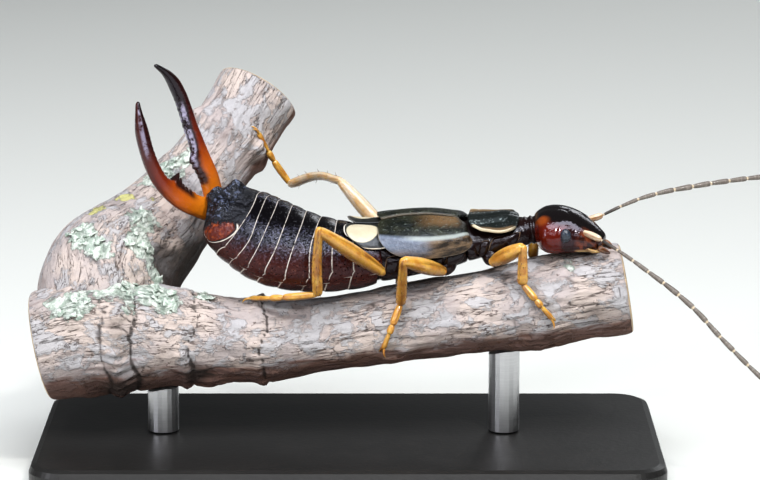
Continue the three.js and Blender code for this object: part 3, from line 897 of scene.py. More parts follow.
# %% [markdown]
# The shield behind the head is a flat saddle with a swollen front half, a fine groove down its
# middle and turned-up, paler sides.

# %% Shield
SHIELD_REACH = [(0, 48), (0.2, 54), (0.45, 53), (0.65, 48), (0.85, 43), (1, 33)]
SHIELD_LIFT = [(0, 0.07), (0.2, 0.13), (0.5, 0.155), (1, 0.15)]


def shield():
    start, end = 0.4, 2.0

    def place(u, v):
        across = 2 * v - 1
        reach, lift = float(along(SHIELD_REACH, u)[0]), float(along(SHIELD_LIFT, u)[0])
        front = start + 0.12 * abs(across) ** 4 - 0.05 * (1 - across**2)
        rear = end - 0.16 * abs(across) ** 4
        groove = -0.03 * math.exp(-((across / 0.05) ** 2)) * (1 - u * 0.4)
        flare = 0.14 * max(0.0, abs(across) - 0.72) ** 1.5 / 0.28**1.5
        hump = 0.035 * math.exp(-(((u - 0.34) / 0.24) ** 2) - (across / 0.6) ** 4)
        return on_trunk(front + (rear - front) * u, across * reach, lift + hump + groove + flare, 2.3)

    def rim(u, v):
        return 1.7 * min(v, 1 - v)

    piece = laid("pronotum", 22, 45, place, 0.1, 1, rim)
    trunk.bend(piece)
    return finished(piece, SHIELD, "dark_cuticle", "pronotum")


print("shield:", len(shield().data.polygons), "faces")

# %% [markdown]
# A wing cover is a stiff leathery lid. Its top lies flat on the back and its side drops down the
# flank, and a ridge runs between them, so its section is squarer than the trunk's. The folded
# wing's tip shows behind it as a small cream scale.

# %% Wing covers and wing tips
# The tables run from front to rear. LOW is the angle of the outer edge.
COVER_START, COVER_END = 2.04, 4.94
COVER_LOW = [
    (0, 60), (0.04, 72), (0.14, 84), (0.34, 86), (0.62, 79), (0.8, 72), (0.9, 62), (0.97, 50), (1, 42),
]
COVER_RIDGE = [(0, 50), (0.12, 58), (0.25, 59), (0.53, 57), (0.74, 49), (0.93, 40), (1, 36)]
COVER_LIFT = [(0, 0.17), (0.1, 0.2), (0.4, 0.32), (0.75, 0.35), (1, 0.28)]
TIP_START, TIP_END = 4.6, 6.13
TIP_LOW = [(0, 54), (0.3, 55), (0.5, 54), (0.82, 48), (1, 38)]


def wing_cover(way, side):
    def place(u, v):
        low, ridge_angle = float(along(COVER_LOW, u)[0]), float(along(COVER_RIDGE, u)[0])
        angle = 0.3 + (low - 0.3) * v
        front = COVER_START + 0.3 * max(0.0, 1 - angle / 24) ** 2
        front -= 0.12 * max(0.0, (angle - 40) / 25) ** 1.5
        rear = COVER_END - 0.16 * max(0.0, 1 - angle / 20) ** 2
        ridge = 0.05 * math.exp(-(((angle - ridge_angle) / 5) ** 2)) * min(1, 3 * u + 0.3)
        sutural = 0.02 * math.exp(-(((angle - 5) / 3) ** 2))
        dip = -0.03 * math.exp(-(((angle - 30) / 13) ** 2))
        edge = -0.05 * math.exp(-((angle / 1.5) ** 2))
        fold_in = -0.1 * max(0.0, (angle - ridge_angle) / 40) ** 2 - 0.12 * max(0.0, 1 - u / 0.06) ** 2
        lift = float(along(COVER_LIFT, u)[0]) + ridge + sutural + dip + edge + fold_in
        return on_trunk(front + (rear - front) * u, way * angle, lift, 2.35)

    def rim(u, v):
        return min(2.9 * (1 - u), 2.9 * u + 0.05, 1.9 * (1 - v))

    piece = laid(f"wing_cover_{side}", 31, 31, place, 0.07, 1, rim)
    trunk.bend(piece)
    return finished(outward(piece), WING_COVER, "wing_cover", f"wing_cover_{side}")


def wing_tip(way, side):
    def place(u, v):
        low = float(along(TIP_LOW, u)[0])
        inner = 4.5 if way > 0 else -3.5
        angle = low * v - inner * (1 - v)
        rear = TIP_END - 0.34 * abs(2 * v - 0.95) ** 2.6 - (0.12 if way < 0 else 0)
        lift = 0.08 + 0.07 * math.sin(math.pi * v) ** 0.7 + 0.03 * (1 - u)
        return on_trunk(TIP_START + (rear - TIP_START) * u, way * angle, lift, 2.1)

    def rim(u, v):
        return min(1.5 * (1 - u), 1.1 * (1 - v))

    piece = laid(f"wing_tip_{side}", 19, 21, place, 0.05, 1, rim)
    trunk.bend(piece)
    return finished(outward(piece), WING_TIP, "wing_tip", f"wing_tip_{side}")


for way, side in ((1, "right"), (-1, "left")):
    wing_tip(way, side)
    cover = wing_cover(way, side)
    print(f"wing cover, {side}:", len(cover.data.polygons), "faces")
trunk.done()

# %% [markdown]
# ## Head
# The head is a smooth heart-shaped box, red-brown at the cheeks and black on the crown, with painted
# shade behind and below each eye. The face is patchy, with a pale rim below. Each patch of colour is
# told by its place along the head and its angle from the crown.

# %% The head's measures and finish
HEAD = [
    [(5.93, 0.01, 7.87), 0.5, 0.42],
    [(6.12, 0, 7.88), 0.84, 0.61],
    [(6.5, -0.06, 7.88), 1.05, 0.73],
    [(6.95, -0.16, 7.84), 1.02, 0.7],
    [(7.4, -0.32, 7.74), 0.82, 0.57],
    [(7.8, -0.47, 7.62), 0.57, 0.42],
    [(8.08, -0.57, 7.53), 0.36, 0.28],
]
HEAD_SIDE = Vector((0.26, 0.94, 0.2))
head_guide = Guide([place for place, *_ in HEAD], lambda part: HEAD_SIDE)
HEAD_GIRTH = [(stop, wide, high) for stop, (_, wide, high) in zip(head_guide.stops, HEAD)]


def head_finish():
    paint = Finish("head_cuticle")
    x, angle, _ = paint.chart()
    turn = angle.size()
    mottle = paint.noise(1.8, 3)
    top = paint.step(turn + 20 * (mottle - 0.5), 66, 44)
    cheek = paint.mix(mottle, (0.07, 0.006, 0.003), (0.13, 0.014, 0.005))
    colour = paint.mix(paint.step(turn, 112, 138), cheek, (0.02, 0.006, 0.004))
    colour = paint.mix(top, colour, (0.008, 0.006, 0.006))
    from_patch = (((x - 0.3) / 0.3) ** 2 + ((turn - 48) / 17) ** 2) ** 0.5
    patch = paint.step(from_patch + 0.5 * (mottle - 0.5), 1.15, 0.4)
    colour = paint.mix(patch * 0.9, colour, (0.26, 0.06, 0.01))
    nape = paint.step(x, 0.18, 0.02) * paint.step(turn, 50, 20)
    colour = paint.mix(nape * 0.7, colour, (0.16, 0.08, 0.035))
    # Painted shade: a dark patch behind and below the eye.
    painted_shade_behind_eye = paint.step(((x - 1.5) / 0.34) ** 2 + ((turn - 84) / 36) ** 2, 1.7, 0.4)
    colour = paint.mix(painted_shade_behind_eye * 0.85, colour, (0.012, 0.006, 0.006))
    face = paint.step(x, 1.55, 1.8)
    skin = paint.mix(paint.step(paint.noise(4, 3), 0.4, 0.62), (0.03, 0.01, 0.006), (0.2, 0.05, 0.02))
    colour = paint.mix(face * paint.step(turn, 30, 50), colour, skin)
    low_rim = face * paint.step((turn - 122).size(), 16, 6)
    colour = paint.mix(low_rim * 0.8, colour, (0.6, 0.42, 0.2))
    return paint.done(
        Base_Color=colour,
        Roughness=0.08 + 0.08 * mottle,
        Specular_Tint=(0.9, 0.86, 1),
        Normal=paint.bump(paint.cells(14), 0.004),
    )


HEAD_SKIN = head_finish()
print("finish:", HEAD_SKIN.name, "on a head", round(head_guide.length, 2), "mm long")

# %% [markdown]
# The head is turned at even steps along its own guide. Then fine seams are sunk into it: one down
# the middle, which forks on the forehead, and a shallow ring round each eye. The cheeks swell.

# %% Head
EYE_PLACE = 1.25  # along the head
EYE_TURN = {"right": 70, "left": 84}  # degrees from the crown


def seam_rise(spot):
    """How far a point of the head moves outwards."""
    angle = math.degrees(math.atan2(spot.y, spot.z))
    middle = math.exp(-((angle / 7) ** 2)) * math.exp(-(((spot.x - 0.3) / 0.7) ** 4))
    from_fork = (abs(angle) - 60 * max(0, spot.x - 0.95)) / 6
    fork = math.exp(-(from_fork**2)) * (1 if 0.95 < spot.x < 1.6 else 0)
    cheek = 0.04 * math.exp(-(((spot.x - 0.7) / 0.4) ** 2) - ((abs(angle) - 95) / 28) ** 2)
    eye_turn = EYE_TURN["left" if angle > 0 else "right"]
    from_eye = math.hypot((spot.x - EYE_PLACE) / 0.27, (abs(angle) - eye_turn) / 22)
    orbit = 0.014 * math.exp(-(((from_eye - 1) / 0.3) ** 2))
    return cheek - 0.016 * middle - 0.008 * fork - orbit


stations = [(-0.05, 0.2, 0.2)]
for number in range(13):
    s = head_guide.length * number / 12
    stations.append((s, *along(HEAD_GIRTH, s)))
stations.append((head_guide.length + 0.04, 0.2, 0.16))
head = turned("head", stations, 28, 2)
round_chart(head)
move_points(head, [point.co + point.normal * seam_rise(point.co) for point in head.data.vertices])
head_guide.bend(head)
finished(head, HEAD_SKIN, "red_cuticle", "head")
print("head:", len(head.data.polygons), "faces")

# %% [markdown]
# An eye is an oval cushion of fine facets, dark with a blue-grey shine. A sphere is flattened to
# that shape, set into the side of the straight head, and bent along the head's guide.

# %% Eyes
EYE = 0.235


def eye_finish():
    paint = Finish("eye")
    facets = paint.cells(26)
    colour = paint.mix(paint.step(facets, 0.1, 0.6), (0.06, 0.085, 0.12), (0.016, 0.022, 0.034))
    return paint.done(
        Base_Color=colour,
        Roughness=0.28 + 0.1 * facets,
        Coat_Weight=0.5,
        Coat_Roughness=0.15,
        Normal=paint.bump(1 - facets, 0.01),
    )


EYE_SKIN = eye_finish()
eye_wide, eye_high = along(HEAD_GIRTH, EYE_PLACE)
for way, side in ((-1, "right"), (1, "left")):
    fresh()
    turn = math.radians(EYE_TURN[side])
    spot = (EYE_PLACE, way * (eye_wide - 0.05) * math.sin(turn), (eye_high - 0.03) * math.cos(turn))
    bpy.ops.mesh.primitive_uv_sphere_add(segments=32, ring_count=20, radius=EYE, location=spot)
    eye = bpy.context.object
    eye.name = f"eye_{side}"
    bpy.ops.object.transform_apply()
    bpy.ops.object.mode_set(mode="EDIT")
    bpy.ops.mesh.select_all(action="SELECT")
    bpy.ops.transform.resize(value=(0.92, 0.72, 1.0), center_override=spot)
    bpy.ops.object.mode_set(mode="OBJECT")
    smooth(eye, 1)
    round_chart(eye)
    head_guide.bend(eye)
    finished(eye, EYE_SKIN, "eye", f"eye_{side}")
    print(f"eye, {side}: {2 * EYE:.2f} mm across")
head_guide.done()

# %% [markdown]
# ## Limbs
# Legs, palps, jaws and feelers are all turned forms on short guides. A limb's stations are given as
# parts of its length, so each piece keeps its shape on whatever guide it gets.

# %% Limb tool and the amber finish
def limb(name, points, profile, sides=14, levels=2):
    """A turned limb bent through points. A profile row is part of the length, half width, half height."""
    guide = Guide([Vector(place) for place in points])
    stations = [(part * guide.length, *girth) for part, *girth in profile]
    piece = turned(name, stations, sides, levels)
    round_chart(piece)
    guide.bend(piece)
    guide.done()
    return piece


def amber_finish(name, pale, deep, dark):
    paint = Finish(name)
    mottle = paint.noise(2.6, 4)
    streak = paint.noise(1, 3, 0.55, paint.straight((0.5, 5.5, 5.5)))
    colour = paint.mix(paint.step(mottle, 0.3, 0.7), pale, deep)
    colour = paint.mix(paint.step(streak, 0.52, 0.72) * 0.75, colour, dark)
    colour = paint.mix(paint.step(streak, 0.46, 0.34) * 0.6, colour, pale)
    speck = paint.step(paint.noise(16, 2), 0.62, 0.7)
    colour = paint.mix(speck * 0.3, colour, dark)
    # Painted shade darkens faces that turn down, and a painted highlight lightens faces that turn up.
    facing = paint.node("ShaderNodeNewGeometry", {}, {}, "Normal")
    upward = paint.node("ShaderNodeSeparateXYZ", {}, {0: facing}, "Z")
    colour = paint.mix(paint.step(upward, -0.1, -0.85) * 0.7, colour, dark)
    sunlit = tuple(min(1, 1.25 * part + 0.06) for part in pale)
    colour = paint.mix(paint.step(upward, 0.4, 0.85) * 0.5, colour, sunlit)
    return paint.done(
        Base_Color=colour,
        Roughness=0.2 + 0.16 * mottle,
        Coat_Weight=0.6,
        Coat_Roughness=0.07,
        Subsurface_Weight=0.2,
        Subsurface_Radius=(1.0, 0.45, 0.12),
        Subsurface_Scale=0.2 * MM,
        Normal=paint.bump(paint.noise(9, 3) + streak, 0.02),
    )


AMBER = amber_finish("amber_leg", (0.7, 0.4, 0.075), (0.42, 0.16, 0.016), (0.11, 0.04, 0.008))
# A paler copy of the amber: a painted highlight for the far hind leg.
AMBER_PAINTED_HIGHLIGHT = amber_finish("amber_leg_painted_highlight", (0.56, 0.46, 0.34), (0.5, 0.29, 0.09), (0.22, 0.12, 0.05))
print("finish:", AMBER.name)

# %% [markdown]
# The feet stand on the twig, so its middle line and girth come first. Beside each place stands the
# twig's radius there. The fork's root is wider than the solid's, to melt into the main run.

# %% The twig's middle line, which the feet need
TWIG = [
    [(-9.95, 0, 3.98), 1.8],
    [(-8.3, 0, 4.32), 1.95],
    [(-6.6, 0, 4.35), 1.8],
    [(-5.2, 0, 4.28), 1.52],
    [(-3.3, -0.05, 4.22), 1.35],
    [(-2.7, -0.1, 4.23), 1.4],
    [(-2.1, -0.1, 4.28), 1.29],
    [(1.64, -0.1, 4.79), 1.26],
    [(6.13, -0.1, 5.49), 1.42],
    [(8.92, -0.1, 5.95), 1.5],
]
TWIG_ARM = [
    [(-8.3, -0.2, 4.3), 1.6],
    [(-7.85, 1.4, 5.75), 2.25],
    [(-6.3, 2.9, 7.3), 1.7],
    [(-4.14, 4.9, 9.68), 1.34],
    [(-3.07, 6, 11.28), 1.5],
]
TWIG_LINE = [(place[0], place[1], place[2], radius) for place, radius in TWIG]


def on_twig(x, angle, lift):
    """A point on the twig at world X = x, at an angle from its top towards the viewer."""
    y, z, radius = (float(n) for n in along(TWIG_LINE, x))
    slope = float(along(TWIG_LINE, x + 0.1)[1] - along(TWIG_LINE, x - 0.1)[1]) / 0.2
    up = Vector((-slope, 0, 1)).normalized()
    turn = math.radians(angle)
    return Vector((x, y, z)) + (radius + lift) * (up * math.cos(turn) - Vector((0, math.sin(turn), 0)))


print(f"twig: {TWIG[-1][0][0] - TWIG[0][0][0]:.2f} mm long")

# %% [markdown]
# A leg has a short coxa, a small trochanter, a stout femur, a slimmer tibia and a foot of three
# joints with two claws. Six points give its run: the root, the coxa's end, the knee, the ankle, the
# arch and the toe. The tables below them give each link's girth along its length.

# %% Runs and girths of the legs
FOOT_LIFT = 0.2
TOE_LIFT = 0.1
LEGS = {
    "front_right": [
        (4.5, -0.4, 7.3), (4.56, -0.84, 6.95), (5.5, -1.72, 7.64),
        on_twig(5.67, 53, FOOT_LIFT), on_twig(6.07, 78, FOOT_LIFT), on_twig(6.42, 100, TOE_LIFT),
    ],
    "front_left": [
        (4.55, 0.4, 7.3), (4.77, 0.9, 6.98), (6.02, 1.55, 7.78),
        on_twig(6.14, -40, FOOT_LIFT), on_twig(6.5, -60, FOOT_LIFT), on_twig(6.9, -82, TOE_LIFT),
    ],
    "middle_right": [
        (3.2, -0.45, 6.95), (3.02, -0.92, 6.68), (1.74, -2.2, 7.3),
        on_twig(1.79, 52, FOOT_LIFT), on_twig(1.41, 80, FOOT_LIFT), on_twig(1.03, 110, TOE_LIFT),
    ],
    "middle_left": [
        (3.2, 0.5, 7.06), (3.02, 0.98, 6.82), (1.74, 2.2, 7.45),
        on_twig(1.8, -50, FOOT_LIFT), on_twig(1.5, -76, FOOT_LIFT), on_twig(1.1, -102, TOE_LIFT),
    ],
    "hind_right": [
        (1.55, -0.5, 6.75), (1.1, -0.98, 6.66), (-0.9, -2.5, 8.33),
        (-0.97, -1.62, 6.08), (-2.3, -1.28, 5.89), (-3.14, -0.56, 5.72),
    ],
    "hind_left": [
        (2, 0.6, 6.85), (1.72, 1.2, 6.88), (-0.3, 2.3, 8.98),
        (-1.98, 4.3, 8.48), (-2.5, 4.25, 9.25), (-3.02, 3.95, 10.29),
    ],
}
COXA = [
    (-0.1, 0.2, 0.2), (0, 0.3, 0.3), (0.4, 0.34, 0.34), (0.8, 0.27, 0.27), (1, 0.2, 0.2), (1.06, 0.1, 0.1),
]
TROCHANTER = [
    (-0.3, 0.06, 0.06), (-0.1, 0.15, 0.15), (0.4, 0.2, 0.19), (0.9, 0.17, 0.16), (1.1, 0.08, 0.08),
]
FEMUR = [
    (0, 0.08, 0.08), (0.02, 0.16, 0.16), (0.12, 0.215, 0.21), (0.3, 0.26, 0.25), (0.5, 0.275, 0.265),
    (0.72, 0.25, 0.24), (0.88, 0.2, 0.19), (0.97, 0.17, 0.17), (1.02, 0.1, 0.1),
]
TIBIA = [
    (-0.05, 0.06, 0.06), (-0.02, 0.13, 0.13), (0.06, 0.15, 0.15), (0.16, 0.135, 0.13),
    (0.5, 0.165, 0.155), (0.8, 0.18, 0.17), (0.95, 0.175, 0.165), (1, 0.14, 0.13), (1.02, 0.06, 0.06),
]
FOOT = [  # each joint's start and end as parts of the foot, and its own girths
    [0, 0.46, [
        (0, 0.05, 0.05), (0.03, 0.09, 0.09), (0.25, 0.125, 0.12), (0.7, 0.14, 0.13),
        (0.93, 0.13, 0.12), (1, 0.06, 0.06),
    ]],
    [0.44, 0.64, [
        (0, 0.05, 0.05), (0.1, 0.09, 0.09), (0.5, 0.13, 0.12), (0.9, 0.12, 0.11), (1.02, 0.05, 0.05),
    ]],
    [0.62, 1, [
        (0, 0.04, 0.04), (0.06, 0.075, 0.075), (0.5, 0.085, 0.08), (0.88, 0.11, 0.1), (1, 0.05, 0.05),
    ]],
]
CLAW = [  # beyond the tip, half width, half height, sideways and down
    (-0.1, 0.045, 0.045, 0.03, 0), (0.02, 0.042, 0.05, 0.06, 0.01), (0.14, 0.034, 0.04, 0.11, -0.01),
    (0.22, 0.022, 0.026, 0.14, -0.06), (0.25, 0.006, 0.008, 0.15, -0.12),
]
print("legs to build:", ", ".join(LEGS))

# %% [markdown]
# The foot's joints and its two hooked claws are turned on one straight line, joined, and bent
# together, so that the joints stay in step round the twig.

# %% Feet
def between(one, two, part):
    return Vector(one).lerp(Vector(two), part)


def foot(name, ankle, arch, toe):
    """Three joints along the ankle, arch and toe, with a pair of hooked claws at the end."""
    guide = Guide([ankle, arch, toe])
    pieces = []
    for start, end, profile in FOOT:
        span = (end - start) * guide.length
        stations = [(start * guide.length + part * span, *girth) for part, *girth in profile]
        pieces.append(turned(name, stations, 12, 2))
    for way in (-1, 1):
        hook = [(guide.length + x, wide, high, way * aside, down) for x, wide, high, aside, down in CLAW]
        pieces.append(turned(name, hook, 8, 1))
    piece = joined(name, pieces)
    round_chart(piece)
    guide.bend(piece)
    guide.done()
    return piece


# %% [markdown]
# Short stiff bristles stand along the shins. One is modelled, a thin leaning spike, and copied round
# the straight limb. The copies are joined and bent with the limb's guide.

# %% Bristles
def bristle_finish():
    paint = Finish("bristle")
    mottle = paint.noise(6, 2)
    colour = paint.mix(mottle, (0.05, 0.02, 0.008), (0.16, 0.075, 0.025))
    return paint.done(Base_Color=colour, Roughness=0.35 + 0.2 * mottle)


def bristles(name, points, count):
    """A row that winds round the shin, 2.4 radians from one bristle to the next."""
    guide = Guide([Vector(place) for place in points])
    fresh()
    bpy.ops.mesh.primitive_cone_add(
        vertices=5, radius1=0.011, radius2=0.003, depth=BRISTLE_LENGTH, location=(0, 0, BRISTLE_LENGTH / 2)
    )
    spike = bpy.context.object
    bpy.ops.object.transform_apply()
    chance = np.random.default_rng(count + len(name))
    copies = []
    for number in range(count):
        part = 0.08 + 0.88 * number / count
        girth = along(TIBIA, part)[0]
        turn = 2.4 * number + chance.uniform(-0.4, 0.4)
        copy = bpy.data.objects.new(name, spike.data.copy())
        bpy.context.collection.objects.link(copy)
        lean = Matrix.Rotation(math.radians(38 + chance.uniform(-12, 12)), 4, "Y")
        stand = Matrix.Rotation(-turn, 4, "X")
        size = Matrix.Scale(chance.uniform(0.7, 1.15), 4)
        copy.data.transform(stand @ Matrix.Translation((part * guide.length, 0, 0.9 * girth)) @ lean @ size)
        copies.append(copy)
    bpy.data.objects.remove(spike)
    piece = joined(name, copies)
    round_chart(piece)
    guide.bend(piece)
    guide.done()
    return piece


BRISTLE_LENGTH = 0.13
BRISTLE = bristle_finish()
BRISTLES = {"hind_right": 60, "hind_left": 20}
FEW_BRISTLES = 26
print("finish:", BRISTLE.name)

# %% [markdown]
# Now each leg is built link by link along its run. The hind shins bow a little. The far hind leg's
# femur and tibia get a paler copy of the amber as a painted highlight, and the near coxae are dark
# like the thorax that they are set in.

# %% Legs
SHIN_BOW = {"hind_left": Vector((0.1, 0, 0.22)), "hind_right": Vector((-0.05, 0, 0))}
for leg, (root, trochanter, knee, ankle, arch, toe) in LEGS.items():
    hip = between(trochanter, knee, 0.1)
    coxa = limb(f"coxa_{leg}", [root, between(root, trochanter, 0.5), trochanter], COXA)
    collar = limb(f"trochanter_{leg}", [trochanter, between(trochanter, knee, 0.05), hip], TROCHANTER)
    femur = limb(f"femur_{leg}", [trochanter, between(trochanter, knee, 0.5), knee], FEMUR, 16)
    shin = [knee, between(knee, ankle, 0.5) + SHIN_BOW.get(leg, Vector()), ankle]
    tibia = limb(f"tibia_{leg}", shin, TIBIA)
    tarsus = foot(f"tarsus_{leg}", ankle, arch, toe)
    finished(bristles(f"bristles_{leg}", shin, BRISTLES.get(leg, FEW_BRISTLES)), BRISTLE, "amber_cuticle")
    finished(coxa, THORAX if leg.endswith("right") else AMBER, "amber_cuticle", f"coxa_{leg}")
    for piece, node in ((collar, ""), (femur, "femur_"), (tibia, "tibia_"), (tarsus, "tarsus_")):
        # The far hind femur and tibia take the paler copy, a painted highlight.
        skin = AMBER_PAINTED_HIGHLIGHT if leg == "hind_left" and node in ("tibia_", "femur_") else AMBER
        finished(piece, skin, "amber_cuticle", *([node + leg] if node else []))
print("legs:", len(LEGS))

# %% [markdown]
# Each feeler is a stout first joint and a long whip of small joints that swell towards their far
# ends. The joints are one turned form with a waist at each joint.

# %% Feelers
def feeler_finish():
    paint = Finish("feeler")
    x, _, _ = paint.chart()
    mottle = paint.noise(6, 3)
    fine = paint.noise(2.5, 3, 0.6, paint.straight((6, 1, 1)))
    colour = paint.mix(mottle, (0.075, 0.062, 0.05), (0.2, 0.17, 0.145))
    colour = paint.mix(paint.step(fine, 0.5, 0.68) * 0.5, colour, (0.34, 0.3, 0.27))
    colour = paint.mix(paint.step(x, 0.9, 0.1), colour, (0.025, 0.018, 0.014))
    part = paint.node("ShaderNodeMath", {"operation": "FRACT"}, {0: x / JOINT_LENGTH + 0.06})
    from_joint = (part - 0.06).size()
    colour = paint.mix(paint.step(from_joint, 0.07, 0.03), colour, (0.55, 0.45, 0.32))
    return paint.done(
        Base_Color=colour,
        Roughness=0.42 + 0.2 * mottle,
        Coat_Weight=0.15,
        Normal=paint.bump(paint.noise(20, 2), 0.012),
    )


ANTENNAE = {
    "right": [
        [(7.4, -0.78, 7.92), (7.65, -0.98, 7.88), (7.98, -1.17, 7.76)],
        [
            (8.02, -1.2, 7.74), (8.5, -1.5, 7.49), (9.19, -1.9, 7.07), (10.7, -2.8, 6.02),
            (11.76, -3.4, 4.97), (12.76, -3.9, 4.04), (13.87, -4.3, 3.11),
        ],
    ],
    "left": [
        [(7.6, 0.12, 8.12), (7.84, 0.3, 8.15), (8.12, 0.43, 8.21)],
        [
            (8.17, 0.46, 8.23), (8.77, 0.6, 8.49), (9.65, 0.8, 8.78), (11.3, 1.18, 9.05),
            (12.24, 1.4, 9.15), (13.3, 1.7, 9.22), (15.6, 2.25, 9.29),
        ],
    ],
}
SCAPE = [
    (-0.1, 0.05, 0.05), (0, 0.09, 0.09), (0.3, 0.11, 0.105), (0.65, 0.13, 0.12),
    (0.9, 0.12, 0.11), (1, 0.08, 0.08), (1.04, 0.03, 0.03),
]
JOINT_LENGTH = 0.62
JOINT = ((0.0, 0.55), (0.06, 0.78), (0.4, 0.9), (0.8, 1.0), (0.93, 0.96), (0.99, 0.6))  # place, girth
FEELER = feeler_finish()
SCAPE_SKIN = amber_finish("feeler_root", (0.7, 0.6, 0.46), (0.42, 0.24, 0.11), (0.14, 0.06, 0.025))
for side, (root, whip) in ANTENNAE.items():
    scape = limb(f"antenna_{side}_root", root, SCAPE)
    finished(scape, SCAPE_SKIN, "amber_cuticle", f"antenna_{side}_root")
    guide = Guide([Vector(place) for place in whip])
    stations = [(-0.04, 0.03, 0.03)]
    for number in range(int(guide.length / JOINT_LENGTH + 0.5)):
        thick = float(np.interp(number, (0, 1, 4, 13), (0.06, 0.07, 0.1, 0.078)))
        start = number * JOINT_LENGTH
        for part, share in JOINT:
            stations.append((start + part * JOINT_LENGTH, thick * share, thick * share))
    stations.append((stations[-1][0] + 0.03, 0.02, 0.02))
    piece = turned(f"antenna_{side}_whip", stations, 10, 1)
    round_chart(piece)
    guide.bend(piece)
    guide.done()
    finished(piece, FEELER, "antenna", f"antenna_{side}_length", f"antenna_{side}_tip")
print("feelers:", len(ANTENNAE))

# %% [markdown]
# The mouth parts fold under the front of the head: a pair of dark jaws and a pair of golden palps of
# three joints each.

# %% Jaws and palps
GOLD = amber_finish("golden_palp", (0.5, 0.32, 0.11), (0.3, 0.14, 0.04), (0.08, 0.028, 0.01))
PALPS = {
    "right": [(7.5, -0.82, 7.46), (7.68, -0.92, 7.35), (7.9, -0.97, 7.33), (8.1, -0.92, 7.38)],
    "left": [(7.75, -0.1, 7.45), (7.95, 0.0, 7.5), (8.12, -0.05, 7.46), (8.28, -0.2, 7.34)],
}
PALP = [
    (0, 0.04, 0.04), (0.04, 0.06, 0.06), (0.2, 0.075, 0.075), (0.27, 0.045, 0.045),
    (0.32, 0.06, 0.06), (0.52, 0.078, 0.075), (0.59, 0.045, 0.045), (0.64, 0.055, 0.055),
    (0.85, 0.07, 0.065), (1, 0.03, 0.03),
]
JAWS = {
    "right": [(7.95, -1.0, 7.45), (8.1, -0.98, 7.36), (8.32, -0.86, 7.24)],
    "left": [(8.1, -0.22, 7.52), (8.3, -0.3, 7.42), (8.42, -0.55, 7.26)],
}
JAW = [(-0.1, 0.06, 0.06), (0.05, 0.12, 0.11), (0.4, 0.11, 0.1), (0.75, 0.08, 0.07), (1, 0.03, 0.03)]
JAW_SKIN = amber_finish("jaw", (0.22, 0.09, 0.03), (0.08, 0.02, 0.008), (0.015, 0.006, 0.005))
for side in ("right", "left"):
    finished(limb(f"palp_{side}", PALPS[side], PALP, 10), GOLD, "amber_cuticle", f"palp_{side}")
    finished(limb(f"jaw_{side}", JAWS[side], JAW, 12), JAW_SKIN, "dark_cuticle", f"jaw_{side}")
print("mouth parts:", len(PALPS) + len(JAWS))

# %% [markdown]
# ## Forceps
# Each arm of the forceps starts as a broad plate with a toothed inner edge, narrows at an elbow and
# ends in a hook. It is turned flat with more width on its inner side, bent along a flat guide whose
# heading comes from the solid, and set in the tail's own axes. The teeth are raised by point moves.

# %% The forceps' measures
FORCEPS_AXIS = Vector((-0.414, -0.221, 0.883)).normalized()
BASE_PLATE = 1.5
TAIL_END = Vector((-4.6, 1, 8.5))
FORCEPS_SIDE = (TAIL_SIDE - FORCEPS_AXIS * TAIL_SIDE.dot(FORCEPS_AXIS)).normalized()
TEETH = [  # place, height, breadth
    (0.35, 0.05, 0.06), (0.55, 0.07, 0.06), (0.76, 0.08, 0.07), (0.98, 0.1, 0.08),
    (1.18, 0.22, 0.09), (1.42, 0.46, 0.12),
]
ARMS = {  # way out, length, distance from the axis, headings outwards at even steps
    "right": (-1, 4.45, 0.4, [42, 27, 8, -10, -21, -26]),
    "left": (1, 4.8, 0.5, [22, 2, 7, 14, 0, -34]),
}


print("forceps arms:", ", ".join(f"{side} {facts[1]} mm" for side, facts in ARMS.items()))

# %% [markdown]
# The arms run from orange at the root through red-brown to black at the tips. Their inner edge is
# black, and broken lilac streaks of painted highlight lie on the near arm's outer side and on the far
# arm's inner face. The chart's third value tells the far arm from the near one.

# %% Finish of the forceps
def forceps_finish():
    paint = Finish("forceps")
    x, angle, far = paint.chart()
    mottle = paint.noise(2.2, 4)
    streak = paint.noise(1.1, 3, 0.55, paint.straight((0.6, 5, 5)))
    toothed = paint.step(x, 1.75, 1.35) * (1 - far)
    inward = angle + 24 * (mottle - 0.5) - 34 * far - 44 * toothed
    inner = paint.step(inward, -44, -72) * paint.step(x, 0.25, 0.6)
    colour = paint.ramp(x / 4.6, [
        (0.0, (0.6, 0.19, 0.012)), (0.22, (0.5, 0.11, 0.007)), (0.4, (0.19, 0.024, 0.004)),
        (0.66, (0.035, 0.006, 0.005)), (0.9, (0.014, 0.004, 0.004)), (1.0, (0.006, 0.004, 0.004)),
    ])
    colour = paint.mix(paint.step(streak, 0.54, 0.74) * 0.45, colour, (0.12, 0.02, 0.004))
    outer = paint.step(angle - 16 * (mottle - 0.5), 34, 70) * (1 - far)
    colour = paint.mix(outer * 0.75, colour, (0.06, 0.01, 0.005))
    colour = paint.mix(inner * 0.95, colour, (0.008, 0.004, 0.005))
    # Painted highlights: broken lilac streaks on the near arm's outer side and the far arm's inner face.
    broken = paint.step(paint.noise(3.5, 4, 0.7), 0.42, 0.56)
    near_run = paint.step(x, 2.6, 3.1) * paint.step(x, 4.5, 4.2)
    near_painted_highlight = paint.step(angle, 24, 40) * paint.step(angle, 70, 52) * near_run * (1 - far)
    far_run = paint.step(x, 0.7, 1.6) * paint.step(x, 3.4, 3)
    far_painted_highlight = paint.step(angle, -34, -50) * paint.step(angle, -82, -68) * far_run * far
    colour = paint.mix((near_painted_highlight * 0.55 + far_painted_highlight * 0.85) * broken, colour, (0.42, 0.39, 0.52))
    return paint.done(
        Base_Color=colour,
        Roughness=0.07 + 0.1 * mottle,
        Specular_Tint=(0.92, 0.88, 1),
        Normal=paint.bump(paint.noise(7, 3) + 4 * inner * toothed * paint.noise(5, 3), 0.02),
    )


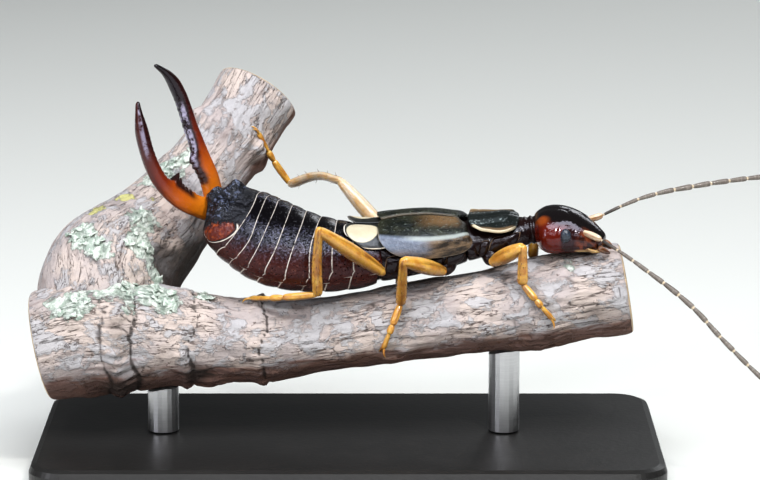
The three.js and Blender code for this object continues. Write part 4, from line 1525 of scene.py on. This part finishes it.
FORCEPS = forceps_finish()
print("finish:", FORCEPS.name)

# %% [markdown]
# Towards its tip an arm gets slimmer, and its inner half is broader as far as the toothed plate
# reaches. The teeth are bells on the inward side, and finer ones follow on the slim part.

# %% Forceps
def ease(value, low, high):
    part = min(max((value - low) / (high - low), 0), 1)
    return part * part * (3 - 2 * part)


def forceps_arm(side, way, span, apart, bend):
    flat = [Vector((0, 0, 0))]
    steps = 24
    for number in range(steps):
        turn = math.radians(np.interp((number + 0.5) / steps, np.linspace(0, 1, len(bend)), bend))
        flat.append(flat[-1] + span / steps * Vector((math.cos(turn), math.sin(turn), 0)))
    guide = Guide(flat[::3], lambda part: Vector((0, 1, 0)))
    stations = [(-0.5, 0.3, 0.16, -0.06, 0), (-0.42, 0.36, 0.24, -0.08, 0), (-0.2, 0.38, 0.27, -0.09, 0)]
    for number in range(19):
        length = span * number / 18
        broad = 1 - ease(length, BASE_PLATE * 0.75, BASE_PLATE * 1.25)
        slim = 1 - 0.84 * ease(length, span * 0.78, span * 1.02)
        body = 1 - 0.25 * ease(length, span * 0.3, span * 0.8)
        outward_reach = 0.06 + 0.23 * slim * body
        inward = 0.02 + 0.2 * slim * body + 0.22 * broad
        middle = (outward_reach - inward) / 2
        stations.append((length, (outward_reach + inward) / 2, 0.06 + 0.2 * slim, middle, 0))
    stations.append((span + 0.06, 0.06, 0.06, 0.0, 0))
    stations.append((span + 0.1, 0.02, 0.02, -0.01, 0))
    piece = turned(f"forceps_{side}", stations, 20, 3)
    places, notes = [], []
    for point in piece.data.vertices:
        spot, out = point.co.copy(), point.normal.copy()
        inner = max(0.0, -out.y) ** 3 * (1 if spot.y < 0 else 0)
        tooth = 0.0
        for place, height, broad in TEETH:
            tooth += height * math.exp(-(((spot.x - place) / broad) ** 2))
        fine = 0.018 * math.sin(spot.x * 34) * math.exp(-(((spot.x - 2.2) / 1.2) ** 4))
        share = tooth if way < 0 else tooth * 0.5
        places.append(spot + Vector((0, -inner * (share + fine), 0)))
        notes.append((spot.x, math.degrees(math.atan2(out.y, abs(out.z) + 0.15)), 0 if way < 0 else 1))
    chart(piece, notes)
    move_points(piece, places)
    note_straight(piece)
    guide.bend(piece)
    guide.done()
    out_way = FORCEPS_SIDE * way
    depth = FORCEPS_AXIS.cross(out_way)
    origin = TAIL_END + out_way * apart + FORCEPS_AXIS * 0.05
    turn = Matrix((FORCEPS_AXIS, out_way, depth)).transposed().to_4x4()
    piece.data.transform(Matrix.Translation(origin) @ turn)
    return finished(piece, FORCEPS, "forceps", f"forceps_{side}")


for side, facts in ARMS.items():
    arm = forceps_arm(side, *facts)
    print(f"forceps, {side}:", len(arm.data.polygons), "faces")

# %% [markdown]
# ## Twig
# The twig is old wood with grey, split bark, knobs where side twigs once grew, and patches of pale
# lichen. A turned form gives its run and girth. The bark's ridges and splits follow the wood, so
# they are raised point by point with noise stretched along the twig before it is bent.

# %% Bark finish
def bark_finish():
    paint = Finish("bark")
    _, angle, lichen = paint.chart()
    straight = paint.straight()
    depth = paint.node("ShaderNodeAttribute", {"attribute_name": "depth"}, {}, "Fac")
    grain = paint.noise(2.2, 6, 0.65, paint.mapped(straight, (0.35, 1.5, 1.5)), 0.4)
    blotch = paint.noise(0.6, 4, 0.6, straight)
    crust = paint.noise(1.5, 6, 0.68, paint.mapped(straight, (0.7, 1, 1)), 0.3)
    fleck = paint.noise(4.5, 4, 0.7)
    colour = paint.mix(paint.step(blotch, 0.38, 0.62), (0.43, 0.375, 0.365), (0.55, 0.465, 0.42))
    colour = paint.mix(paint.step(grain, 0.5, 0.3) * 0.55, colour, (0.22, 0.17, 0.155))
    pale = paint.step(crust, 0.49, 0.55)
    colour = paint.mix(pale * 0.75, colour, paint.mix(fleck, (0.34, 0.34, 0.36), (0.52, 0.52, 0.54)))
    fissure = paint.noise(2.4, 5, 0.6, paint.mapped(straight, (0.2, 1.7, 1.7)), 0.5)
    lines = paint.step((fissure - 0.5).size(), 0.014, 0.002) * paint.step(blotch, 0.4, 0.55)
    colour = paint.mix(lines * 0.75, colour, (0.09, 0.06, 0.05))
    colour = paint.mix(paint.step(fleck, 0.62, 0.68) * 0.7, colour, (0.08, 0.055, 0.045))
    under = paint.step(angle.size() + 70 * (grain - 0.5), 104, 128)
    colour = paint.mix(under * 0.85, colour, (0.13, 0.05, 0.028))
    # Darker by depth: the splits' and scars' own dark, with painted shade in the splits and hollows.
    sunken_dark_and_shade = paint.step(depth + 0.35 * (grain - 0.5), -0.12, -0.45)
    colour = paint.mix(sunken_dark_and_shade * 0.85, colour, (0.035, 0.026, 0.022))
    scale = paint.noise(2.1, 6, 0.72)
    mint = paint.step(lichen + 1.7 * (scale - 0.5), 0.56, 0.64)
    green = paint.mix(paint.step(paint.noise(5, 3), 0.4, 0.6), (0.33, 0.4, 0.34), (0.66, 0.71, 0.65))
    colour = paint.mix(mint * 0.9, colour, green)
    yellow = paint.step(lichen * -1 + 1.7 * (scale - 0.5), 0.56, 0.64)
    colour = paint.mix(yellow * 0.85, colour, paint.mix(scale, (0.36, 0.36, 0.08), (0.72, 0.68, 0.3)))
    cut = paint.step(depth, 1.2, 1.6)
    _, y, z = [paint.node("ShaderNodeSeparateXYZ", {}, {0: straight}, axis) for axis in "XYZ"]
    reach = (y * y + z * z) ** 0.5 + 0.12 * blotch
    years = paint.node("ShaderNodeMath", {"operation": "SINE"}, {0: reach * 30})
    wood = paint.mix(0.5 + 0.5 * years, (0.42, 0.3, 0.19), (0.62, 0.49, 0.34))
    colour = paint.mix(cut, colour, wood)
    height = grain * 0.6 + fleck * 0.35 + pale * 0.25 + (mint + yellow) * 0.5 * scale - lines * 0.3
    return paint.done(
        Base_Color=colour,
        Roughness=0.74 + 0.15 * fleck,
        Normal=paint.bump(height * (1 - 0.7 * cut), 0.14),
    )


BARK = bark_finish()
print("finish:", BARK.name)

# %% [markdown]
# Knobs, dark hollows and lichen patches are rows of place, angle, size and amount. Each fades like
# a bell over its size, and a row with an angle past 360 goes all the way round as a ring. Noise
# stretched along the twig gives the plates of the bark, and their splits where it crosses zero.
# Splits and hollows store how deep they sink, and the finish darkens the bark by that depth: the
# splits' and scars' own dark colour, with painted shade in them.

# %% Bark tools
def close_to(spot, angle, radius, row):
    """1 at a row's place and angle, fading over its size. An angle above 360 means all the way round."""
    place, turn, broad = row[:3]
    away = 0.0 if turn > 360 else math.radians((angle - turn + 180) % 360 - 180) * radius
    return math.exp(-(((spot - place) / broad) ** 2) - (away / broad) ** 2)


CUT_END = 2.0  # a depth that tells the bare wood of a cut end from bark


def twig_piece(name, stations, seed, knobs, patches, dark, levels=3, sides=26):
    """The twig's run, with rows of place, angle towards the viewer, size and amount."""
    piece = turned(name, stations, sides, levels)
    places, notes, depths = [], [], []
    for point in piece.data.vertices:
        spot, out = point.co.copy(), point.normal.copy()
        angle = math.degrees(math.atan2(-spot.y, spot.z))
        radius = math.hypot(spot.y, spot.z) or 1e-6
        drift = Vector((spot.x * 0.3 + seed, spot.y * 1.15, spot.z * 1.15))
        warp = noise.noise(spot * 0.6 + Vector((seed, 3, 1))) * 0.8
        plate = noise.noise(drift * 1.4 + Vector((0, warp, warp)))
        crack = 1 - min(1, abs(noise.noise(drift * 1.9 + Vector((9, warp, 0)))) / 0.07)
        fine = noise.noise(Vector((spot.x * 1.6, spot.y * 5, spot.z * 5)) + Vector((seed, 0, 0)))
        lump = noise.noise(spot * 1.1 + Vector((seed, 7, 7)))
        wavy = spot.x + 0.35 * noise.noise(Vector((seed, spot.y * 0.9, spot.z * 0.9)))
        wavy += 0.06 * noise.noise(spot * 5)
        rise = 0.06 * plate + 0.03 * fine + 0.06 * lump
        depth = -0.35 * crack * ease(plate, -0.35, 0.15)
        for row in knobs:
            rise += row[3] * close_to(wavy, angle, radius, row) * (1 + 1.2 * fine + 0.8 * lump)
        for row in dark:
            near = row[3] * close_to(wavy, angle, radius, row)
            depth -= near
            rise -= 0.05 * near
        lichen = sum(row[3] * close_to(spot.x, angle, radius, row) for row in patches)
        rise += 0.06 * min(1, abs(lichen)) * max(0.0, noise.noise(spot * 4.5) + 0.2)
        side_face = max(0.0, 1 - abs(out.x) * 1.3)
        places.append(spot + out * side_face * (rise + 0.12 * depth))
        notes.append((spot.x, angle, lichen))
        depths.append(depth if side_face > 0.3 else CUT_END)
    chart(piece, notes)
    layer = piece.data.attributes.new("depth", "FLOAT", "POINT")
    layer.data.foreach_set("value", np.array(depths, np.float32))
    note_straight(piece)
    move_points(piece, places)
    return piece


def twig_stations(guide, table, step=0.62):
    girth = [(stop, radius) for stop, (_, radius) in zip(guide.stops, table)]
    count = int(guide.length / step)
    rows = []
    for number in range(count + 1):
        s = guide.length * number / count
        radius = along(girth, s)[0]
        rows.append((s, radius, radius))
    first, last, top = rows[0][1], rows[-1][1], guide.length
    start = [(place, first * share, first * share) for place, share in CUT]
    end = [(top - place, last * share, last * share) for place, share in reversed(CUT)]
    return start + rows[1:-1] + end


CUT = ((0.0, 0.5), (0.0, 0.93), (0.06, 0.99))  # a cut end's rounded rim: place and part of the radius

# %% [markdown]
# The main run has a swollen node where the fork springs from it, three thin rings where older wood
# ends, and a few knobs. Lichen grows thickest on top, near the fork.

# %% Twig
twig_guide = Guide([place for place, _ in TWIG], lambda part: Vector((0, 1, 0)))
ROUND = 500  # an angle that stands for all the way round
KNOBS = [
    (1.6, 40, 0.9, 0.1), (2.75, ROUND, 0.28, 0.14), (2.8, 95, 0.45, 0.14), (4.85, ROUND, 0.14, 0.08),
    (7.22, ROUND, 0.13, 0.06), (5.6, 150, 0.6, 0.12), (2.5, 130, 0.6, 0.14), (17.0, 60, 0.8, 0.12),
    (16.2, 150, 0.9, 0.1), (11.5, 130, 0.8, 0.07), (4.6, 10, 0.6, 0.14),
]
DARK = [
    (2.3, ROUND, 0.05, 0.3), (3.25, ROUND, 0.05, 0.5), (5.08, ROUND, 0.035, 0.45),
    (7.36, ROUND, 0.03, 0.55), (2.75, 70, 0.55, 0.28), (3.6, -20, 0.8, 0.5), (2.6, 140, 0.9, 0.5),
    (5.2, 130, 0.6, 0.45), (18.0, 100, 0.6, 0.3),
]
PATCHES = [
    (2.4, 24, 0.65, 1.0), (3.4, 14, 0.7, 1.1), (1.5, 48, 0.6, 0.8), (4.1, 34, 0.6, 0.9),
    (0.8, 38, 0.5, 0.6), (3.0, 55, 0.4, 0.6), (5.2, 8, 0.5, 0.7), (17.3, 30, 0.5, 0.6),
    (8.2, 300, 0.8, 0.8), (13.0, 250, 0.9, 0.8), (3.0, 260, 1.2, 1.0),
]
main = twig_piece("twig_main", twig_stations(twig_guide, TWIG), 1.0, KNOBS, PATCHES, DARK)
twig_guide.bend(main)
twig_guide.done()
print("twig:", len(main.data.polygons), "faces")

# %% [markdown]
# The fork leans away from the viewer. An amount below zero stands for yellow lichen instead of mint,
# which grows in two spots low on the fork.

# %% Fork
arm_guide = Guide([place for place, _ in TWIG_ARM], lambda part: Vector((-0.6, 0.8, 0)))
ARM_KNOBS = [(2.4, 60, 0.8, 0.12), (3.4, 100, 0.7, 0.1), (8.8, ROUND, 0.4, 0.15)]
ARM_DARK = [
    (3.2, 118, 0.9, 0.8), (4.2, 122, 0.8, 0.6), (2.7, 90, 0.6, 0.5), (5.2, 130, 0.7, 0.4),
    (3.6, 85, 0.5, 0.35),
]
ARM_PATCHES = [
    (4.5, 8, 0.45, -1.0), (3.4, 6, 0.4, -0.95), (4.1, 46, 0.65, 0.95), (3.0, 66, 0.7, 1.1),
    (2.4, 92, 0.5, 0.9), (5.8, 14, 0.8, 1.0), (7.0, 22, 0.6, 0.7), (4.9, 34, 0.35, -0.8),
    (3.8, 250, 1.0, 0.9), (6.8, 200, 0.8, 0.8), (2.4, 10, 0.6, 1.0), (2.0, 35, 0.5, 0.9),
]
arm = twig_piece("twig_fork", twig_stations(arm_guide, TWIG_ARM), 5.0, ARM_KNOBS, ARM_PATCHES, ARM_DARK)
arm_guide.bend(arm)
arm_guide.done()
print("fork:", len(arm.data.polygons), "faces")

# %% [markdown]
# The thicker lichen grows in small leafy flakes with turned-up, wavy rims. One flake is made from a
# disc, and copies stand on the bark where the patches are strongest, each leaning its own way.

# %% Lichen flakes
def flake_finish():
    paint = Finish("lichen_flake")
    speckle = paint.noise(6, 4)
    colour = paint.mix(paint.step(speckle, 0.36, 0.6), (0.3, 0.37, 0.31), (0.66, 0.71, 0.65))
    relief = paint.bump(paint.noise(14, 3), 0.03)
    return paint.done(Base_Color=colour, Roughness=0.75 + 0.15 * speckle, Normal=relief)


FLAKE = 0.14


def flake():
    fresh()
    bpy.ops.mesh.primitive_circle_add(vertices=14, radius=FLAKE, fill_type="TRIFAN")
    piece = bpy.context.object
    for point in piece.data.vertices:
        reach = math.hypot(point.co.x, point.co.y)
        turn = math.atan2(point.co.y, point.co.x)
        spread = 1 + 0.28 * math.sin(3 * turn + 1) + 0.2 * math.sin(5 * turn)
        rim = reach / FLAKE
        point.co = (point.co.x * spread, point.co.y * spread, 0.05 * rim + 0.03 * rim * math.sin(4 * turn))
    modify(piece, "SOLIDIFY", thickness=0.022, offset=0)
    return piece


def flakes_on(wood, patches, pattern, chance, count):
    """Copies of the flake spread over the strong patches, each on the nearest point of the bark."""
    notes = np.empty(len(wood.data.vertices) * 3, np.float32)
    wood.data.attributes["chart"].data.foreach_get("vector", notes)
    x, angle, _ = notes.reshape(-1, 3).astype(float).T
    strong = [row for row in patches if row[3] > 0.62]
    areas = np.array([broad**2 for _, _, broad, _ in strong])
    copies = []
    for number in chance.choice(len(strong), count, p=areas / areas.sum()):
        place, turn, broad, _ = strong[number]
        reach, way = 0.75 * broad * chance.uniform() ** 0.5, chance.uniform(0, 2 * math.pi)
        aim = turn + math.degrees(reach * math.sin(way) / BARK_RADIUS)
        round_twig = np.radians((angle - aim + 180) % 360 - 180) * BARK_RADIUS
        away = (x - place - reach * math.cos(way)) ** 2 + round_twig**2
        point = wood.data.vertices[int(np.argmin(away))]
        lean = Vector(chance.uniform(-0.35, 0.35, 3)) + point.normal
        turned_up = lean.to_track_quat("Z", "Y").to_matrix().to_4x4()
        spin = Matrix.Rotation(chance.uniform(0, 6.28), 4, "Z")
        size = Matrix.Scale(chance.uniform(0.6, 1.5), 4)
        copy = bpy.data.objects.new("flake", pattern.data.copy())
        bpy.context.collection.objects.link(copy)
        copy.data.transform(Matrix.Translation(point.co) @ turned_up @ spin @ size)
        copies.append(copy)
    return copies


BARK_RADIUS = 1.7
pattern = flake()
chance = np.random.default_rng(7)
copies = flakes_on(main, PATCHES, pattern, chance, 70)
copies += flakes_on(arm, ARM_PATCHES, pattern, chance, 60)
bpy.data.objects.remove(pattern)
flakes = joined("lichen_flakes", copies)
finished(flakes, flake_finish(), "bark")
finished(main, BARK, "bark", "perch_main")
finished(arm, BARK, "bark", "perch_fork")
print("lichen flakes:", len(copies))

# %% [markdown]
# ## Stand
# The stand is the solids' own: a dark satin plinth and two short steel rods. They get finishes
# only.

# %% Stand finishes
def plinth_finish():
    paint = Finish("plinth_lacquer")
    mottle = paint.noise(0.8, 4)
    colour = paint.mix(mottle, (0.011, 0.0105, 0.01), (0.02, 0.019, 0.018))
    relief = paint.bump(paint.noise(5, 3), 0.006)
    return paint.done(Base_Color=colour, Roughness=0.34 + 0.12 * mottle, Normal=relief)


def rod_finish():
    paint = Finish("brushed_steel")
    brush = paint.noise(3, 4, 0.6, paint.mapped(paint.place, (0.4, 0.4, 9)))
    colour = paint.mix(brush, (0.5, 0.5, 0.51), (0.68, 0.68, 0.69))
    relief = paint.bump(brush, 0.004)
    return paint.done(Base_Color=colour, Metallic=1.0, Roughness=0.24 + 0.16 * brush, Normal=relief)


def dress(node, material):
    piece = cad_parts[node]
    piece.data.materials.clear()
    piece.data.materials.append(material)


dress("stand_base", plinth_finish())
ROD = rod_finish()
dress("stand_rod_tail", ROD)
dress("stand_rod_head", ROD)
print("finish:", ROD.name)

# %% [markdown]
# ## Stage and light
# A plain pale floor runs back past the frame, like a roll of studio paper.

# %% Floor
fresh()
bpy.ops.mesh.primitive_plane_add(size=4, location=(0, 0, 0))
floor = bpy.context.object
floor.name = "floor"
paper = Finish("pale_floor")
tone = paper.noise(0.01, 2)
pale = paper.mix(tone, (0.72, 0.73, 0.7), (0.76, 0.77, 0.74))
floor.data.materials.append(paper.done(Base_Color=pale, Roughness=0.9))
print("floor:", floor.name)

# %% [markdown]
# A glossy insect looks like what it reflects, so the lights are soft boxes of chosen size. A high
# one lights the back, and a long low one in front gives the rings one wide band of light. A small
# warm one puts a sharp spark on head, eyes and covers, a narrow one on the left lights the forceps
# from the side, whose lilac streaks are painted highlights in their finish, and a weak one behind
# parts the outline from the floor.

# %% Lights and sky
def softbox(name, place, size, power, colour):
    bpy.ops.object.light_add(type="AREA", location=Vector(place) * MM)
    light = bpy.context.object
    light.name = name
    light.data.shape = "RECTANGLE"
    light.data.size, light.data.size_y = size[0] * MM, size[1] * MM
    light.data.energy = power
    light.data.color = colour
    light.rotation_euler = (AIM - Vector(place)).to_track_quat("-Z", "Y").to_euler()


AIM = Vector((0, 0, 6))
softbox("high", (6, -56, 146), (170, 64), 0.25, (0.94, 0.96, 1))
softbox("low", (-10, -150, 100), (200, 46), 0.085, (0.97, 0.97, 1))
softbox("spark", (44, -92, 120), (14, 14), 0.075, (1, 0.99, 0.96))
softbox("strip", (-120, -70, 70), (24, 100), 0.06, (0.92, 0.93, 1))
softbox("back", (70, 150, 90), (90, 40), 0.03, (0.95, 0.98, 1))
world = bpy.data.worlds.new("studio")
bpy.context.scene.world = world
world.use_nodes = True
world.node_tree.nodes["Background"].inputs["Color"].default_value = (0.86, 0.9, 0.92, 1)
world.node_tree.nodes["Background"].inputs["Strength"].default_value = 0.12
bpy.context.scene.view_settings.view_transform = "Standard"
bpy.context.scene.view_settings.look = "Medium High Contrast"
print("lights:", len(bpy.data.lights))
